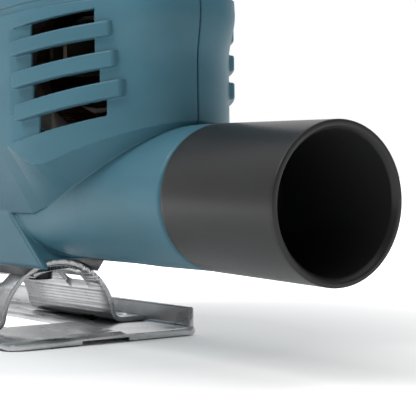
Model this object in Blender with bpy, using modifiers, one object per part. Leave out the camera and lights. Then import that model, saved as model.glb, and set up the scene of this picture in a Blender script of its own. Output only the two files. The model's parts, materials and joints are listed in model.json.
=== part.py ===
"""Compact jigsaw with a closed loop handle, a tilting steel shoe and a dust nozzle.

Lengths below are in millimetres and are multiplied by MM when geometry is made.
+X points to the front of the tool, +Y to its left, +Z up; the shoe's sole is Z = 0.
"""
import math

import bmesh
import bpy
from mathutils import Matrix, Vector

MM = 0.001
GAP = 0.3                      # space left between touching pieces
RUN = 0.08                     # radial clearance of running fits

# Housing
WALL = 2.6
BARREL_HALF = 33.0             # half width of the motor barrel
BARREL_REAR = -76.7            # rearmost point of the barrel
BARREL_ARC = 59.0              # length of the elliptical rear end
BARREL_TOP = 126.0
HANDLE_TOP = 195.0
HANDLE_ROUND = 10.0            # edge rounding of the grip
HANDLE_CORE = 7.0              # flat half width of the grip before rounding
GLAND_Z = 168.0                # height of the cord inlet
NOSE_FRONT = 108.0
NOSE_HALF = 30.0
NOSE_REAR = 46.5
BELLY_HALF = 20.5              # half width of the lower body
BELLY_Z = 24.8
ARCH_SPACE_TOP = 27.6          # height of the open space between the side panels, above the arch

# Dust duct and nozzle
DUCT_R = 21.5
DUCT_REAR = -87.9
DUCT_Z = 48.5
DUCT_BORE = 19.0
NOZZLE_LENGTH = 52.15
NOZZLE_PITCH = math.radians(1.26)
NOZZLE_END_R = 22.0
NOZZLE_BORE_R = 19.35

# Motor and gear train
MOTOR_Z = 92.0
MODULE = 0.9
PINION_TEETH = 8
GEAR_TEETH = 40
PINION_R = MODULE * PINION_TEETH / 2
GEAR_R = MODULE * GEAR_TEETH / 2
GEAR_Z = MOTOR_Z - PINION_R - GEAR_R
GEAR_X = 52.0
GEAR_WIDTH = 7.0
SHAFT_R = 4.0
CRANK = 9.0                    # crank radius, half of the blade's stroke
PLUNGER_X = 82.0
ROLLER_X = 73.6
ROLLER_Z = 8.5
ROLLER_R = 5.0

# Shoe
SHOE_REAR = -21.4
SHOE_FRONT = 140.5
SHOE_HALF = 37.05
SHOE_CORNERS = (8.0, 3.0)      # radius of the rear corners, left and right
PAD_LENGTH = 12.0              # raised step in the middle of the rear edge
SHOE_T = 2.2
FLANGE_TOP = 9.24
ARCH_R = 22.77
ARCH_T = 1.7
ARCH_Z = 3.34
ARCH_REAR = 10.1
ARCH_FRONT = 73.0
BOLT_X = 24.0
TILT_SLOT = math.radians(52.5) # half angle of the arch's slot for the clamp bolt

# Side lock button
LOCK_X = 56.0
LOCK_Z = 180.6
LOCK_R = 5.0


# ---------------------------------------------------------------- scene helpers

def clear_scene():
    for obj in list(bpy.data.objects):
        bpy.data.objects.remove(obj, do_unlink=True)


def new_collection(name):
    collection = bpy.data.collections.new(name)
    bpy.context.scene.collection.children.link(collection)
    return collection


clear_scene()
PARTS = new_collection("jigsaw")
CUTTERS = new_collection("cutters")
MATERIALS = {}


def material(name, color, roughness, metallic=0.0, alpha=1.0):
    mat = bpy.data.materials.new(name)
    mat.use_nodes = True
    shader = mat.node_tree.nodes["Principled BSDF"]
    shader.inputs["Base Color"].default_value = (*color, 1.0)
    shader.inputs["Roughness"].default_value = roughness
    shader.inputs["Metallic"].default_value = metallic
    shader.inputs["Alpha"].default_value = alpha
    MATERIALS[name] = mat


def make_materials():
    material("teal_plastic", (0.070, 0.170, 0.220), 0.50)
    material("black_plastic", (0.030, 0.030, 0.031), 0.45)
    material("black_rubber", (0.020, 0.020, 0.020), 0.75)
    material("clear_plastic", (0.85, 0.88, 0.90), 0.08, alpha=0.35)
    material("zinc_steel", (0.50, 0.50, 0.50), 0.30, 1.0)
    material("bright_steel", (0.62, 0.62, 0.63), 0.22, 1.0)
    material("cast_aluminium", (0.38, 0.38, 0.39), 0.48, 1.0)
    material("lamination", (0.24, 0.24, 0.25), 0.45, 1.0)
    material("copper", (0.60, 0.28, 0.14), 0.35, 1.0)
    material("brass", (0.62, 0.47, 0.22), 0.32, 1.0)
    material("carbon", (0.035, 0.035, 0.037), 0.60)
    material("fan_plastic", (0.06, 0.06, 0.06), 0.55)
    material("circuit_board", (0.05, 0.16, 0.09), 0.50)


def place(bm, name, slot=None):
    """Turn a bmesh in millimetres into an object in metres."""
    bmesh.ops.recalc_face_normals(bm, faces=bm.faces)
    bmesh.ops.scale(bm, vec=(MM, MM, MM), verts=bm.verts)
    mesh = bpy.data.meshes.new(name)
    bm.to_mesh(mesh)
    bm.free()
    obj = bpy.data.objects.new(name, mesh)
    if slot:
        PARTS.objects.link(obj)
        mesh.materials.append(MATERIALS[slot])
        return obj
    CUTTERS.objects.link(obj)
    obj.hide_render = True
    obj.display_type = "WIRE"
    return obj


def smooth(obj, angle=35.0):
    obj.data.shade_smooth()
    obj.data.set_sharp_from_angle(angle=math.radians(angle))
    return obj


def bake(obj):
    """Replace an object's mesh by what its modifiers make of it."""
    graph = bpy.context.evaluated_depsgraph_get()
    mesh = bpy.data.meshes.new_from_object(obj.evaluated_get(graph))
    obj.modifiers.clear()
    bm = bmesh.new()
    bm.from_mesh(mesh)
    bmesh.ops.remove_doubles(bm, verts=bm.verts, dist=0.001 * MM)
    bmesh.ops.dissolve_degenerate(bm, edges=bm.edges, dist=0.001 * MM)
    bm.to_mesh(mesh)
    bm.free()
    obj.data = mesh
    return obj


def combine(target, operation, *tools):
    for tool in tools:
        modifier = target.modifiers.new(operation.title(), "BOOLEAN")
        modifier.operation = operation
        modifier.solver = "EXACT"
        modifier.object = tool
    return target


def cut(target, *tools):
    return combine(target, "DIFFERENCE", *tools)


def join(target, *tools):
    return combine(target, "UNION", *tools)


def bevel(obj, width, segments=2, angle=40.0):
    modifier = obj.modifiers.new("Bevel", "BEVEL")
    modifier.width = width * MM
    modifier.segments = segments
    modifier.limit_method = "ANGLE"
    modifier.angle_limit = math.radians(angle)
    return obj


def pivot(name, location):
    """An empty on a joint's axis."""
    empty = bpy.data.objects.new(name, None)
    empty.empty_display_size = 0.01
    empty.location = Vector(location) * MM
    PARTS.objects.link(empty)
    return empty


def hang(empty, *pieces):
    for piece in pieces:
        piece.parent = empty
        piece.matrix_parent_inverse = Matrix.Translation(-empty.location)


# ---------------------------------------------------------------- basic solids

def box(name, low, high, slot=None):
    bm = bmesh.new()
    bmesh.ops.create_cube(bm, size=1.0)
    low, high = Vector(low), Vector(high)
    bmesh.ops.scale(bm, vec=high - low, verts=bm.verts)
    bmesh.ops.translate(bm, vec=(low + high) / 2, verts=bm.verts)
    return place(bm, name, slot)


def turn_matrix(axis):
    """Rotation that takes +Z to the named axis."""
    return {
        "X": Matrix.Rotation(math.radians(90), 3, "Y"),
        "Y": Matrix.Rotation(math.radians(-90), 3, "X"),
        "Z": Matrix.Identity(3),
    }[axis]


def rod(name, axis, start, radius, length, slot=None, sides=24):
    """A cylinder or cone from its start point along an axis."""
    bm = bmesh.new()
    bmesh.ops.create_cone(bm, cap_ends=True, segments=sides, radius1=radius, radius2=radius, depth=length)
    bmesh.ops.translate(bm, vec=(0, 0, length / 2), verts=bm.verts)
    bmesh.ops.rotate(bm, matrix=turn_matrix(axis), verts=bm.verts)
    bmesh.ops.translate(bm, vec=Vector(start), verts=bm.verts)
    obj = place(bm, name, slot)
    return smooth(obj) if slot else obj


def turned(name, axis, centre, profile, slot=None, steps=24, closed=True):
    """A Screw modifier turns a profile of (radius, height) points about an axis."""
    bm = bmesh.new()
    verts = [bm.verts.new((r * MM, 0.0, h * MM)) for r, h in profile]
    for first, second in zip(verts, verts[1:]):
        bm.edges.new((first, second))
    if closed:
        bm.edges.new((verts[-1], verts[0]))
    mesh = bpy.data.meshes.new(name)
    bm.to_mesh(mesh)
    bm.free()
    obj = bpy.data.objects.new(name, mesh)
    screw = obj.modifiers.new("Screw", "SCREW")
    screw.axis = "Z"
    screw.steps = steps
    screw.render_steps = steps
    screw.use_merge_vertices = True
    screw.merge_threshold = 0.00001
    (PARTS if slot else CUTTERS).objects.link(obj)
    if slot:
        mesh.materials.append(MATERIALS[slot])
    else:
        obj.hide_render = True
        obj.display_type = "WIRE"
    bake(obj)
    obj.data.transform(turn_matrix(axis).to_4x4())
    obj.data.transform(Matrix.Translation(Vector(centre) * MM))
    face_outward(obj)
    return smooth(obj) if slot else obj


def face_outward(obj):
    bm = bmesh.new()
    bm.from_mesh(obj.data)
    bmesh.ops.recalc_face_normals(bm, faces=bm.faces)
    bm.to_mesh(obj.data)
    bm.free()


def ring(name, axis, start, outer, inner, length, slot=None, steps=24):
    profile = [(outer, length), (outer, 0.0), (inner, 0.0), (inner, length)]
    return turned(name, axis, start, profile, slot, steps)


def outline_solid(name, loops, plane, low, high, slot=None, rounding=0.0, resolution=2):
    """A filled 2D curve extruded between two planes; later loops are holes."""
    curve = bpy.data.curves.new(name, "CURVE")
    curve.dimensions = "2D"
    curve.fill_mode = "BOTH"
    curve.extrude = ((high - low) / 2 - rounding) * MM
    curve.bevel_depth = rounding * MM
    curve.bevel_resolution = resolution
    for loop in loops:
        spline = curve.splines.new("POLY")
        spline.points.add(len(loop) - 1)
        for point, (u, v) in zip(spline.points, loop):
            point.co = (u * MM, v * MM, 0.0, 1.0)
        spline.use_cyclic_u = True
    guide = bpy.data.objects.new(name + "_outline", curve)
    CUTTERS.objects.link(guide)
    graph = bpy.context.evaluated_depsgraph_get()
    mesh = bpy.data.meshes.new_from_object(guide.evaluated_get(graph))
    bpy.data.objects.remove(guide, do_unlink=True)
    bm = bmesh.new()
    bm.from_mesh(mesh)
    bmesh.ops.remove_doubles(bm, verts=bm.verts, dist=0.002 * MM)
    bmesh.ops.scale(bm, vec=(1 / MM, 1 / MM, 1 / MM), verts=bm.verts)
    middle = (low + high) / 2
    if plane == "XZ":
        bmesh.ops.rotate(bm, matrix=Matrix.Rotation(math.radians(90), 3, "X"), verts=bm.verts)
        bmesh.ops.translate(bm, vec=(0, middle, 0), verts=bm.verts)
    elif plane == "YZ":
        bmesh.ops.rotate(bm, matrix=Matrix(((0, 0, 1), (1, 0, 0), (0, 1, 0))), verts=bm.verts)
        bmesh.ops.translate(bm, vec=(middle, 0, 0), verts=bm.verts)
    else:
        bmesh.ops.translate(bm, vec=(0, 0, middle), verts=bm.verts)
    return place(bm, name, slot)


def loft(name, rings, slot=None):
    """A skin through closed rings with the same number of points, capped at both ends."""
    bm = bmesh.new()
    rows = [[bm.verts.new(point) for point in ring_points] for ring_points in rings]
    count = len(rings[0])
    for lower, upper in zip(rows, rows[1:]):
        for i in range(count):
            j = (i + 1) % count
            bm.faces.new((lower[i], lower[j], upper[j], upper[i]))
    bm.faces.new(list(reversed(rows[0])))
    bm.faces.new(rows[-1])
    bmesh.ops.triangulate(bm, faces=[f for f in bm.faces if len(f.verts) > 4])
    return place(bm, name, slot)


def arc(cx, cy, radius, start, end, count):
    """Points on an arc, angles in degrees."""
    step = (end - start) / (count - 1)
    angles = [math.radians(start + step * i) for i in range(count)]
    return [(cx + radius * math.cos(a), cy + radius * math.sin(a)) for a in angles]


def mix(x, points):
    """Straight-line interpolation through (x, value) points."""
    if x <= points[0][0]:
        return points[0][1]
    for (x0, v0), (x1, v1) in zip(points, points[1:]):
        if x <= x1:
            return v0 + (v1 - v0) * (x - x0) / (x1 - x0)
    return points[-1][1]


# ---------------------------------------------------------------- housing shape

EDGE_LINE = [(-76.7, 71.2), (-38.0, 59.2), (-32.0, 59.0), (-25.0, 61.4), (-17.0, 65.0)]
UNDER_LINE = [(-76.7, 60.5), (-10.0, 43.0)]
BARREL_FRONT = 64.0


def barrel_ring(height, shrink, end_shrink=0.0):
    """Plan outline of the barrel: a half ellipse at the rear, straight sides to the front."""
    half = BARREL_HALF - shrink
    length = BARREL_ARC - (end_shrink or shrink)
    middle = BARREL_REAR + BARREL_ARC
    points = []
    for x, y in arc(0, 0, 1, 90, 270, 17):
        px = middle + length * x
        points.append((px, half * y, height(px)))
    for y in (-half, half):
        points.append((BARREL_FRONT - shrink, y, height(BARREL_FRONT)))
    return points


def level(z):
    """A ring height that is the same all along."""
    return lambda x: z


def barrel(name, inset):
    def under(x):
        return mix(x, UNDER_LINE) + 1.4 * inset

    def edge(x):
        return mix(x, EDGE_LINE) + 0.8 * inset

    rings = [barrel_ring(under, 12.8 + inset, 8.0 + inset), barrel_ring(edge, inset)]
    for z, shrink in ((108.0, 0.0), (118.0 - 0.5 * inset, 3.0), (BARREL_TOP - inset, 13.0)):
        rings.append(barrel_ring(level(z), shrink + inset))
    return loft(name, rings)


def duct_ring(x, half, low, high, roundness, lean=0.0):
    """A superellipse section of the dust duct; lean tips it to meet the nozzle squarely."""
    points = []
    for u, v in arc(0, 0, 1, 6, 366, 31)[:-1]:
        y = half * math.copysign(abs(u) ** roundness, u)
        z = (high + low) / 2 + (high - low) / 2 * math.copysign(abs(v) ** roundness, v)
        points.append((x - (z - DUCT_Z) * math.tan(lean), y, z))
    return points


def duct(name):
    low = DUCT_Z - DUCT_R
    rings = [
        duct_ring(DUCT_REAR, DUCT_R, low, low + 2 * DUCT_R, 1.0, NOZZLE_PITCH),
        duct_ring(-60.0, 21.5, low, low + 2 * DUCT_R, 1.0),
        duct_ring(-38.0, 21.2, low + 0.6, 67.0, 0.9),
        duct_ring(-16.0, 19.8, low + 1.4, 58.0, 0.75),
        duct_ring(8.0, 19.0, low + 1.6, 54.0, 0.7),
    ]
    return loft(name, rings)


def duct_bore(name):
    """The hollow of the duct, from its mouth to the gear housing's dust channel."""
    low = DUCT_Z - DUCT_BORE
    rings = [
        duct_ring(DUCT_REAR - 2.0, DUCT_BORE, low, low + 2 * DUCT_BORE, 1.0),
        duct_ring(-72.0, DUCT_BORE, low, low + 2 * DUCT_BORE, 1.0),
        duct_ring(-40.0, 17.0, low + 0.6, 55.0, 0.9),
        duct_ring(-16.0, 15.5, low + 1.2, 48.0, 0.8),
        duct_ring(9.0, 12.0, low + 1.4, 45.0, 0.8),
    ]
    return loft(name, rings)


def belly_loop(inset):
    """Side outline of the lower body behind and around the gear housing."""
    return [
        (-17.0 + inset, BELLY_Z + inset), (5.0 + inset, 42.0), (5.0 + inset, 47.0),
        (62.0, 47.0), (62.0, BELLY_Z + inset),
    ]


def nose_ring(z, front, half, front_half, rear):
    corner = 7.0
    points = [(rear, -half, z)]
    points += [(x, y, z) for x, y in arc(front - corner, corner - front_half, corner, -75, 0, 5)]
    points += [(x, y, z) for x, y in arc(front - corner, front_half - corner, corner, 0, 75, 5)]
    points.append((rear, half, z))
    return points


def nose(name, inset):
    front = NOSE_FRONT - inset
    half = NOSE_HALF - inset
    rear = NOSE_REAR + inset
    rings = [
        nose_ring(58.0 + inset, front - 5.0, half - 3.0, 24.5 - inset, rear),
        nose_ring(66.0, front, half, 27.5 - inset, rear),
        nose_ring(108.0, front, half, 27.0 - inset, rear),
        nose_ring(124.0, front - 2.0, half - 4.0, 23.0 - inset, rear + 6.0),
        nose_ring(140.0 - inset, front - 6.0, half - 14.0, 15.0 - inset, rear + 19.0),
    ]
    return loft(name, rings)


def handle_loops():
    """Centre outlines of the loop handle, HANDLE_ROUND inside its surface."""
    top = HANDLE_TOP - HANDLE_ROUND
    outer = [(-66.0, 104.0), (88.0, 104.0), (91.0, 140.0)]
    outer += arc(71.0, top - 18.0, 18.0, 10, 90, 6)
    outer += arc(10.0, top - 400.0, 400.0, 91.5, 98.5, 4)
    outer += arc(-50.0, top - 19.0, 16.0, 100, 175, 6)
    hole = arc(48.0, 134.0, 17.0, 0, -90, 6)
    hole += arc(-40.0, 132.0, 15.0, -90, -180, 6)
    hole += arc(-39.0, 157.0, 16.0, 180, 90, 6)
    hole += arc(47.0, 155.0, 18.0, 90, 0, 6)
    return [outer, hole]


def handle(name, inset):
    half = HANDLE_CORE + HANDLE_ROUND - inset
    loops = handle_loops()
    return outline_solid(name, loops, "XZ", -half, half, rounding=HANDLE_ROUND - inset, resolution=2)


VENTS = [                      # front and rear ends, middle line's height at each end, and width
    (-29.6, -57.7, 99.1, 101.6, 6.7),
    (-29.6, -57.7, 90.8, 93.7, 9.4),
    (-30.4, -59.1, 80.9, 84.7, 9.6),
    (-33.5, -61.0, 72.1, 76.9, 7.6),
]
RIBS = [                       # the same for the raised ribs between the vents
    (-22.5, -61.8, 95.1, 98.7, 4.6),
    (-23.5, -63.3, 85.2, 89.8, 5.0),
    (-25.0, -65.0, 75.0, 81.0, 5.2),
]
RIB_PROUD = 1.6


def barrel_side(x):
    """Half width of the barrel's outer face at a place along the tool."""
    middle = BARREL_REAR + BARREL_ARC
    if x > middle:
        return BARREL_HALF
    return BARREL_HALF * math.sqrt(max(0.0, 1 - ((x - middle) / BARREL_ARC) ** 2))


def side_bar(name, spec, inner, outer):
    """A bar that follows the barrel's side between two offsets from its face."""
    front, rear, z_front, z_rear, height = spec
    rings = []
    for i in range(7):
        t = i / 6
        x = front + (rear - front) * t
        z = z_front + (z_rear - z_front) * t
        y = barrel_side(x)
        half = height / 2
        corners = [(inner, -half), (outer, -half), (outer, half), (inner, half)]
        rings.append([(x, y + offset, z + dz) for offset, dz in corners])
    return loft(name, rings)


def housing_shell():
    """Both halves in one piece: outer skin, hollow, openings and ribs on the left side."""
    belly = outline_solid("belly_outer", [belly_loop(0.0)], "XZ", -BELLY_HALF, BELLY_HALF)
    shell = barrel("housing_shell", 0.0)
    join(shell, duct("duct_outer"), belly, nose("nose_outer", 0.0), handle("handle_outer", 0.0))
    bake(shell)
    inner_half = BELLY_HALF - WALL
    gear_bay = box("gear_bay", (7.7, -inner_half, 15.0), (100.3, inner_half, 60.0))
    nose_bay = box("nose_bay", (45.0, -24.9, 54.0), (103.6, 24.9, 66.0))
    hollow = barrel("barrel_hollow", WALL)
    join(hollow, nose("nose_hollow", WALL), handle("handle_hollow", WALL), gear_bay, nose_bay)
    bake(hollow)
    cut(shell, hollow, duct_bore("duct_hollow"))
    bake(shell)
    return shell


def half_housing(shell, name, side):
    half = shell.copy()
    half.data = shell.data.copy()
    half.name = name
    PARTS.objects.link(half)
    half.hide_render = False
    half.display_type = "TEXTURED"
    half.data.materials.clear()
    half.data.materials.append(MATERIALS["teal_plastic"])
    low, high = (-60.0, 0.15) if side > 0 else (-0.15, 60.0)
    cut(half, box(name + "_split", (-150.0, low, -10.0), (160.0, high, 220.0)))
    return half


def mirror_tools(tools):
    """Copies of side cutters on the right side."""
    copies = []
    for tool in tools:
        copy = tool.copy()
        copy.data = tool.data.copy()
        copy.data.transform(Matrix.Scale(-1, 4, Vector((0, 1, 0))))
        copy.data.flip_normals()
        CUTTERS.objects.link(copy)
        copies.append(copy)
    return copies


SCREWS = [                     # place of each housing screw and the shell's half width there
    (-60.0, 176.0, 17.0), (86.0, 158.0, 17.0), (97.0, 112.0, 24.5), (-58.0, 112.0, 21.0),
    (-8.5, 32.0, 20.5),
]


def make_housing():
    shell = housing_shell()
    left = half_housing(shell, "housing_left", 1)
    right = half_housing(shell, "housing_right", -1)
    bpy.data.objects.remove(shell, do_unlink=True)
    vents = [side_bar("vent_%d" % i, spec, -6.0, 3.0) for i, spec in enumerate(VENTS)]
    ribs = [side_bar("rib_%d" % i, spec, -1.0, RIB_PROUD) for i, spec in enumerate(RIBS)]
    join(cut(left, *vents), *ribs)
    join(cut(right, *mirror_tools(vents)), *mirror_tools(ribs))
    trigger_slot = box("trigger_slot", (13.0, -9.5, 150.0), (53.0, 9.5, 168.0))
    dial_slot = box("dial_slot", (55.5, -4.2, 172.0), (84.5, 4.2, 200.0))
    gland_hole = rod("gland_hole", "X", (-90.0, 0, GLAND_Z), 6.3, 30.0, sides=24)
    lock_hole = rod("lock_hole", "Y", (LOCK_X, 10.0, LOCK_Z), LOCK_R + 0.4, 20.0, sides=24)
    panel = BELLY_HALF - WALL
    arch_space = box("arch_space", (-20.0, -panel, 15.0), (8.5, panel, ARCH_SPACE_TOP))
    for half in (left, right):
        cut(half, trigger_slot, dial_slot, gland_hole, arch_space)
    cut(left, tilt_clearance(1))
    cut(right, tilt_clearance(-1))
    cut(left, lock_hole)
    add_bosses(left, right)
    for half in (left, right):
        bake(half)
        smooth(half, 32.0)


def tilt_clearance(side):
    """Wedge off the lower corner, where the shoe's foot comes up at full tilt."""
    inner, outer = (BELLY_HALF - 1.7) * side, (BELLY_HALF + 1.0) * side
    low, high = BELLY_Z - 0.8, BELLY_Z + 1.9
    wedge = [(inner, low), (outer, low), (outer, high)]
    return outline_solid("tilt_clearance_%d" % side, [wedge], "YZ", -4.0, 70.0)


def add_bosses(left, right):
    for i, (x, z, half) in enumerate(SCREWS):
        inside = half - 1.2
        join(left, rod("boss_left_%d" % i, "Y", (x, 0.15, z), 4.6, inside, sides=16))
        join(right, rod("boss_right_%d" % i, "Y", (x, -inside - 0.15, z), 4.6, inside, sides=16))
        cut(left, rod("pilot_%d" % i, "Y", (x, -1.0, z), 2.0, half - 5.0, sides=16))
        cut(right, rod("clear_%d" % i, "Y", (x, -half, z), 2.0, half + 1.0, sides=16))
        cut(right, rod("sink_%d" % i, "Y", (x, -half - 14.0, z), 4.1, 18.0, sides=16))
        bake(left)
        bake(right)


def make_screws():
    for i, (x, z, half) in enumerate(SCREWS):
        profile = [(3.6, 0.0), (3.6, 2.4), (1.7, 2.6), (1.7, half - 0.5), (0.0, half - 0.5)]
        start = (x, 1.4 - half, z)
        screw_piece("housing_screw_%d" % (i + 1), start, [(0.0, 0.0)] + profile)


def screw_piece(name, start, profile):
    """A screw along Y with a hexagonal recess in its head."""
    obj = turned(name, "Y", start, profile, "bright_steel", 16, closed=False)
    recess = rod(name + "_recess", "Y", (start[0], start[1] - 1.0, start[2]), 1.6, 2.6, sides=6)
    return smooth(bake(cut(obj, recess)))


# ---------------------------------------------------------------- dust nozzle

def make_nozzle():
    """A push-in tube: a wide sleeve for the hose and a narrower spigot inside the duct."""
    front_r = 21.54
    profile = [
        (NOZZLE_END_R - 0.6, 0.0), (NOZZLE_END_R, 0.6), (front_r, NOZZLE_LENGTH - GAP),
        (DUCT_BORE - 0.5, NOZZLE_LENGTH - GAP), (DUCT_BORE - 0.6, NOZZLE_LENGTH + 11.0),
        (DUCT_BORE - 2.4, NOZZLE_LENGTH + 11.0), (DUCT_BORE - 2.4, NOZZLE_LENGTH - 6.0),
        (NOZZLE_BORE_R, NOZZLE_LENGTH - 9.0), (NOZZLE_BORE_R, 0.5), (NOZZLE_BORE_R + 0.5, 0.0),
    ]
    nozzle = turned("dust_nozzle", "X", (0, 0, 0), profile, "black_plastic", steps=40)
    nozzle.data.transform(Matrix.Rotation(-NOZZLE_PITCH, 4, "Y"))
    start = nozzle_end()
    nozzle.data.transform(Matrix.Translation(start * MM))
    hang(pivot("nozzle_pull", start), nozzle)


def nozzle_end():
    """Centre of the nozzle's free end."""
    return Vector((
        DUCT_REAR - NOZZLE_LENGTH * math.cos(NOZZLE_PITCH), 0.0,
        DUCT_Z - NOZZLE_LENGTH * math.sin(NOZZLE_PITCH),
    ))


# ---------------------------------------------------------------- gear housing

def seat_section(lower_only):
    """Cross-section of the gear housing: tilt seat below, gear chamber walls above."""
    seat = ARCH_R + GAP
    edge = math.degrees(math.acos(14.3 / seat))
    points = arc(0, ARCH_Z, seat, 180 - edge, edge, 13)
    points += [(17.6, 26.0), (17.6, 54.0)]
    if lower_only:
        points[-1] = (17.6, 46.0)
        return points + [(-17.6, 46.0), (-17.6, 26.0)]
    points += [(24.5, 61.0), (24.5, 91.0), (-24.5, 91.0), (-24.5, 61.0), (-17.6, 54.0), (-17.6, 26.0)]
    return points


def make_gear_housing():
    upper = outline_solid("gear_housing", [seat_section(False)], "YZ", 45.0, 96.0, "cast_aluminium")
    lower = outline_solid("seat_block", [seat_section(True)], "YZ", 8.0, 100.0)
    bearing_wall = box("bearing_wall", (43.0, -13.0, 80.0), (51.0, 13.0, 105.0))
    bush_tower = rod("bush_tower", "Z", (PLUNGER_X, 0, 90.0), 10.5, 6.0)
    join(upper, lower, bearing_wall, bush_tower)
    cut(
        upper,
        box("gear_chamber", (51.0, -21.0, 59.0), (94.0, 21.0, 87.0)),
        box("yoke_chamber", (51.0, -16.1, 53.5), (94.0, 16.1, 60.0)),
        box("front_window", (90.0, -18.0, 60.0), (105.0, 18.0, 84.0)),
        box("pinion_window", (50.9, -7.0, 84.0), (62.0, 7.0, 106.0)),
        rod("gear_pocket", "X", (51.0, 0, GEAR_Z), GEAR_R + 1.4, 9.6),
        rod("bearing_pocket", "X", (42.0, 0, MOTOR_Z), 9.8, 8.3),
        rod("shaft_hole", "X", (45.0, 0, MOTOR_Z), 6.0, 8.0),
        rod("gear_shaft_hole", "X", (46.5, 0, GEAR_Z), SHAFT_R + GAP, 6.0),
        rod("upper_bush_hole", "Z", (PLUNGER_X, 0, 80.0), 7.3, 20.0),
        rod("lower_bush_hole", "Z", (PLUNGER_X, 0, 45.0), 7.3, 10.0),
        rod("holder_recess", "Z", (PLUNGER_X, 0, 10.0), 9.0, 36.5),
        box("dust_channel", (4.0, -7.0, 35.0), (80.0, 7.0, 43.0)),
        box("arm_slot", (56.0, -4.0, 10.0), (80.0, 4.0, 42.0)),
        rod("clamp_hole", "Z", (BOLT_X, 0, 10.0), 3.0, 24.0, sides=24),
        rod("lever_hole", "Y", (74.0, 14.0, 47.0), 3.1 + GAP, 6.0, sides=24),
        rod("guard_hole", "Z", (97.0, 0, 20.0), 1.8, 22.0, sides=16),
    )
    bake(upper)
    return smooth(upper)


def make_gear_cover():
    """Plate over the front window of the gear chamber."""
    loops = [[(-18.0, 57.0), (18.0, 57.0), (20.5, 60.0), (20.5, 86.0), (-20.5, 86.0), (-20.5, 60.0)]]
    cover = outline_solid("gear_cover", loops, "YZ", 96.3, 98.3, "cast_aluminium")
    return bevel(cover, 0.4, 1)


# ---------------------------------------------------------------- motor

def make_field():
    half = 25.0
    corner = 12.0
    loop = arc(half - corner, MOTOR_Z + half - corner, corner, 0, 90, 5)
    loop += arc(corner - half, MOTOR_Z + half - corner, corner, 90, 180, 5)
    loop += arc(corner - half, MOTOR_Z - half + corner, corner, 180, 270, 5)
    loop += arc(half - corner, MOTOR_Z - half + corner, corner, 270, 360, 5)
    bore = arc(0, MOTOR_Z, 17.0, 0, 360, 25)[:-1]
    outline_solid("field_core", [loop, bore], "YZ", -18.0, 26.0, "lamination")
    for name, start in (("field_winding_rear", -24.0), ("field_winding_front", 26.3)):
        ring(name, "X", (start, 0, MOTOR_Z), 22.5, 17.2, 5.7, "copper", steps=24)


def gear_loop(teeth, radius, phase, centre_z):
    """Outline of a spur gear with straight-flanked teeth; angles in turns of one pitch."""
    pitch = 360.0 / teeth
    tip = radius + 0.72 * MODULE
    root = radius - 1.15 * MODULE
    shape = [(root, -0.30), (tip, -0.11), (tip, 0.11), (root, 0.30)]
    points = []
    for i in range(teeth):
        for r, offset in shape:
            angle = math.radians(phase + (i + offset) * pitch)
            points.append((r * math.cos(angle), centre_z + r * math.sin(angle)))
    return points


def make_armature():
    spin = pivot("armature_spin", (0, 0, MOTOR_Z))
    shaft = rod("armature_shaft", "X", (-66.0, 0, MOTOR_Z), SHAFT_R, 116.5, "bright_steel")
    half_pitch = 180.0 / PINION_TEETH
    teeth = gear_loop(PINION_TEETH, PINION_R, -90.0 + half_pitch, MOTOR_Z)
    pinion = outline_solid("pinion_teeth", [teeth], "YZ", 50.0, GEAR_X + GEAR_WIDTH + 0.5)
    bake(join(shaft, pinion))
    smooth(shaft)
    bore = SHAFT_R + GAP
    core = ring("armature_core", "X", (-17.0, 0, MOTOR_Z), 16.2, bore, 42.0, "lamination")
    rear = ring("armature_winding_rear", "X", (-24.5, 0, MOTOR_Z), 14.6, bore, 7.2, "copper", 24)
    front = ring("armature_winding_front", "X", (25.3, 0, MOTOR_Z), 14.6, bore, 6.4, "copper", 24)
    commutator = ring("commutator", "X", (-43.0, 0, MOTOR_Z), 11.5, bore, 14.0, "copper")
    hang(spin, shaft, core, rear, front, commutator, make_fan())


def make_fan():
    bore = SHAFT_R + GAP
    profile = [(23.5, 7.8), (23.5, 6.0), (8.0, 6.0), (8.0, 0.0), (bore, 0.0), (bore, 7.8)]
    fan = turned("fan", "X", (34.0, 0, MOTOR_Z), profile, "fan_plastic")
    for i in range(9):
        blade = box("fan_blade_%d" % i, (34.5, 7.0, -0.7), (41.0, 22.5, 0.7))
        blade.data.transform(Matrix.Rotation(math.radians(40 * i), 4, "X"))
        blade.data.transform(Matrix.Translation((0, 0, MOTOR_Z * MM)))
        join(fan, blade)
    return smooth(bake(fan))


def make_bearings():
    for name, start, outer in (("rear_bearing", -65.5, 9.0), ("front_bearing", 42.8, 9.5)):
        ring(name, "X", (start, 0, MOTOR_Z), outer, SHAFT_R + RUN, 7.0, "bright_steel")
    ring("bearing_seat", "X", (-66.5, 0, MOTOR_Z), 12.0, 9.3, 8.0, "black_rubber")


def make_brushes():
    for side, name in ((1, "left"), (-1, "right")):
        near, far = 12.4 * side, 24.5 * side
        low, high = min(near, far), max(near, far)
        ends = (-41.5, low, MOTOR_Z - 5.5), (-30.5, high, MOTOR_Z + 5.5)
        holder = box("brush_holder_" + name, *ends, "brass")
        cut(holder, box("brush_way_" + name, (-39.3, -30.0, MOTOR_Z - 3.3), (-32.7, 30.0, MOTOR_Z + 3.3)))
        start, end = 11.9 * side, 20.0 * side
        box(
            "brush_" + name, (-39.0, min(start, end), MOTOR_Z - 3.0),
            (-33.0, max(start, end), MOTOR_Z + 3.0), "carbon",
        )


# ---------------------------------------------------------------- gear, plunger, roller

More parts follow.
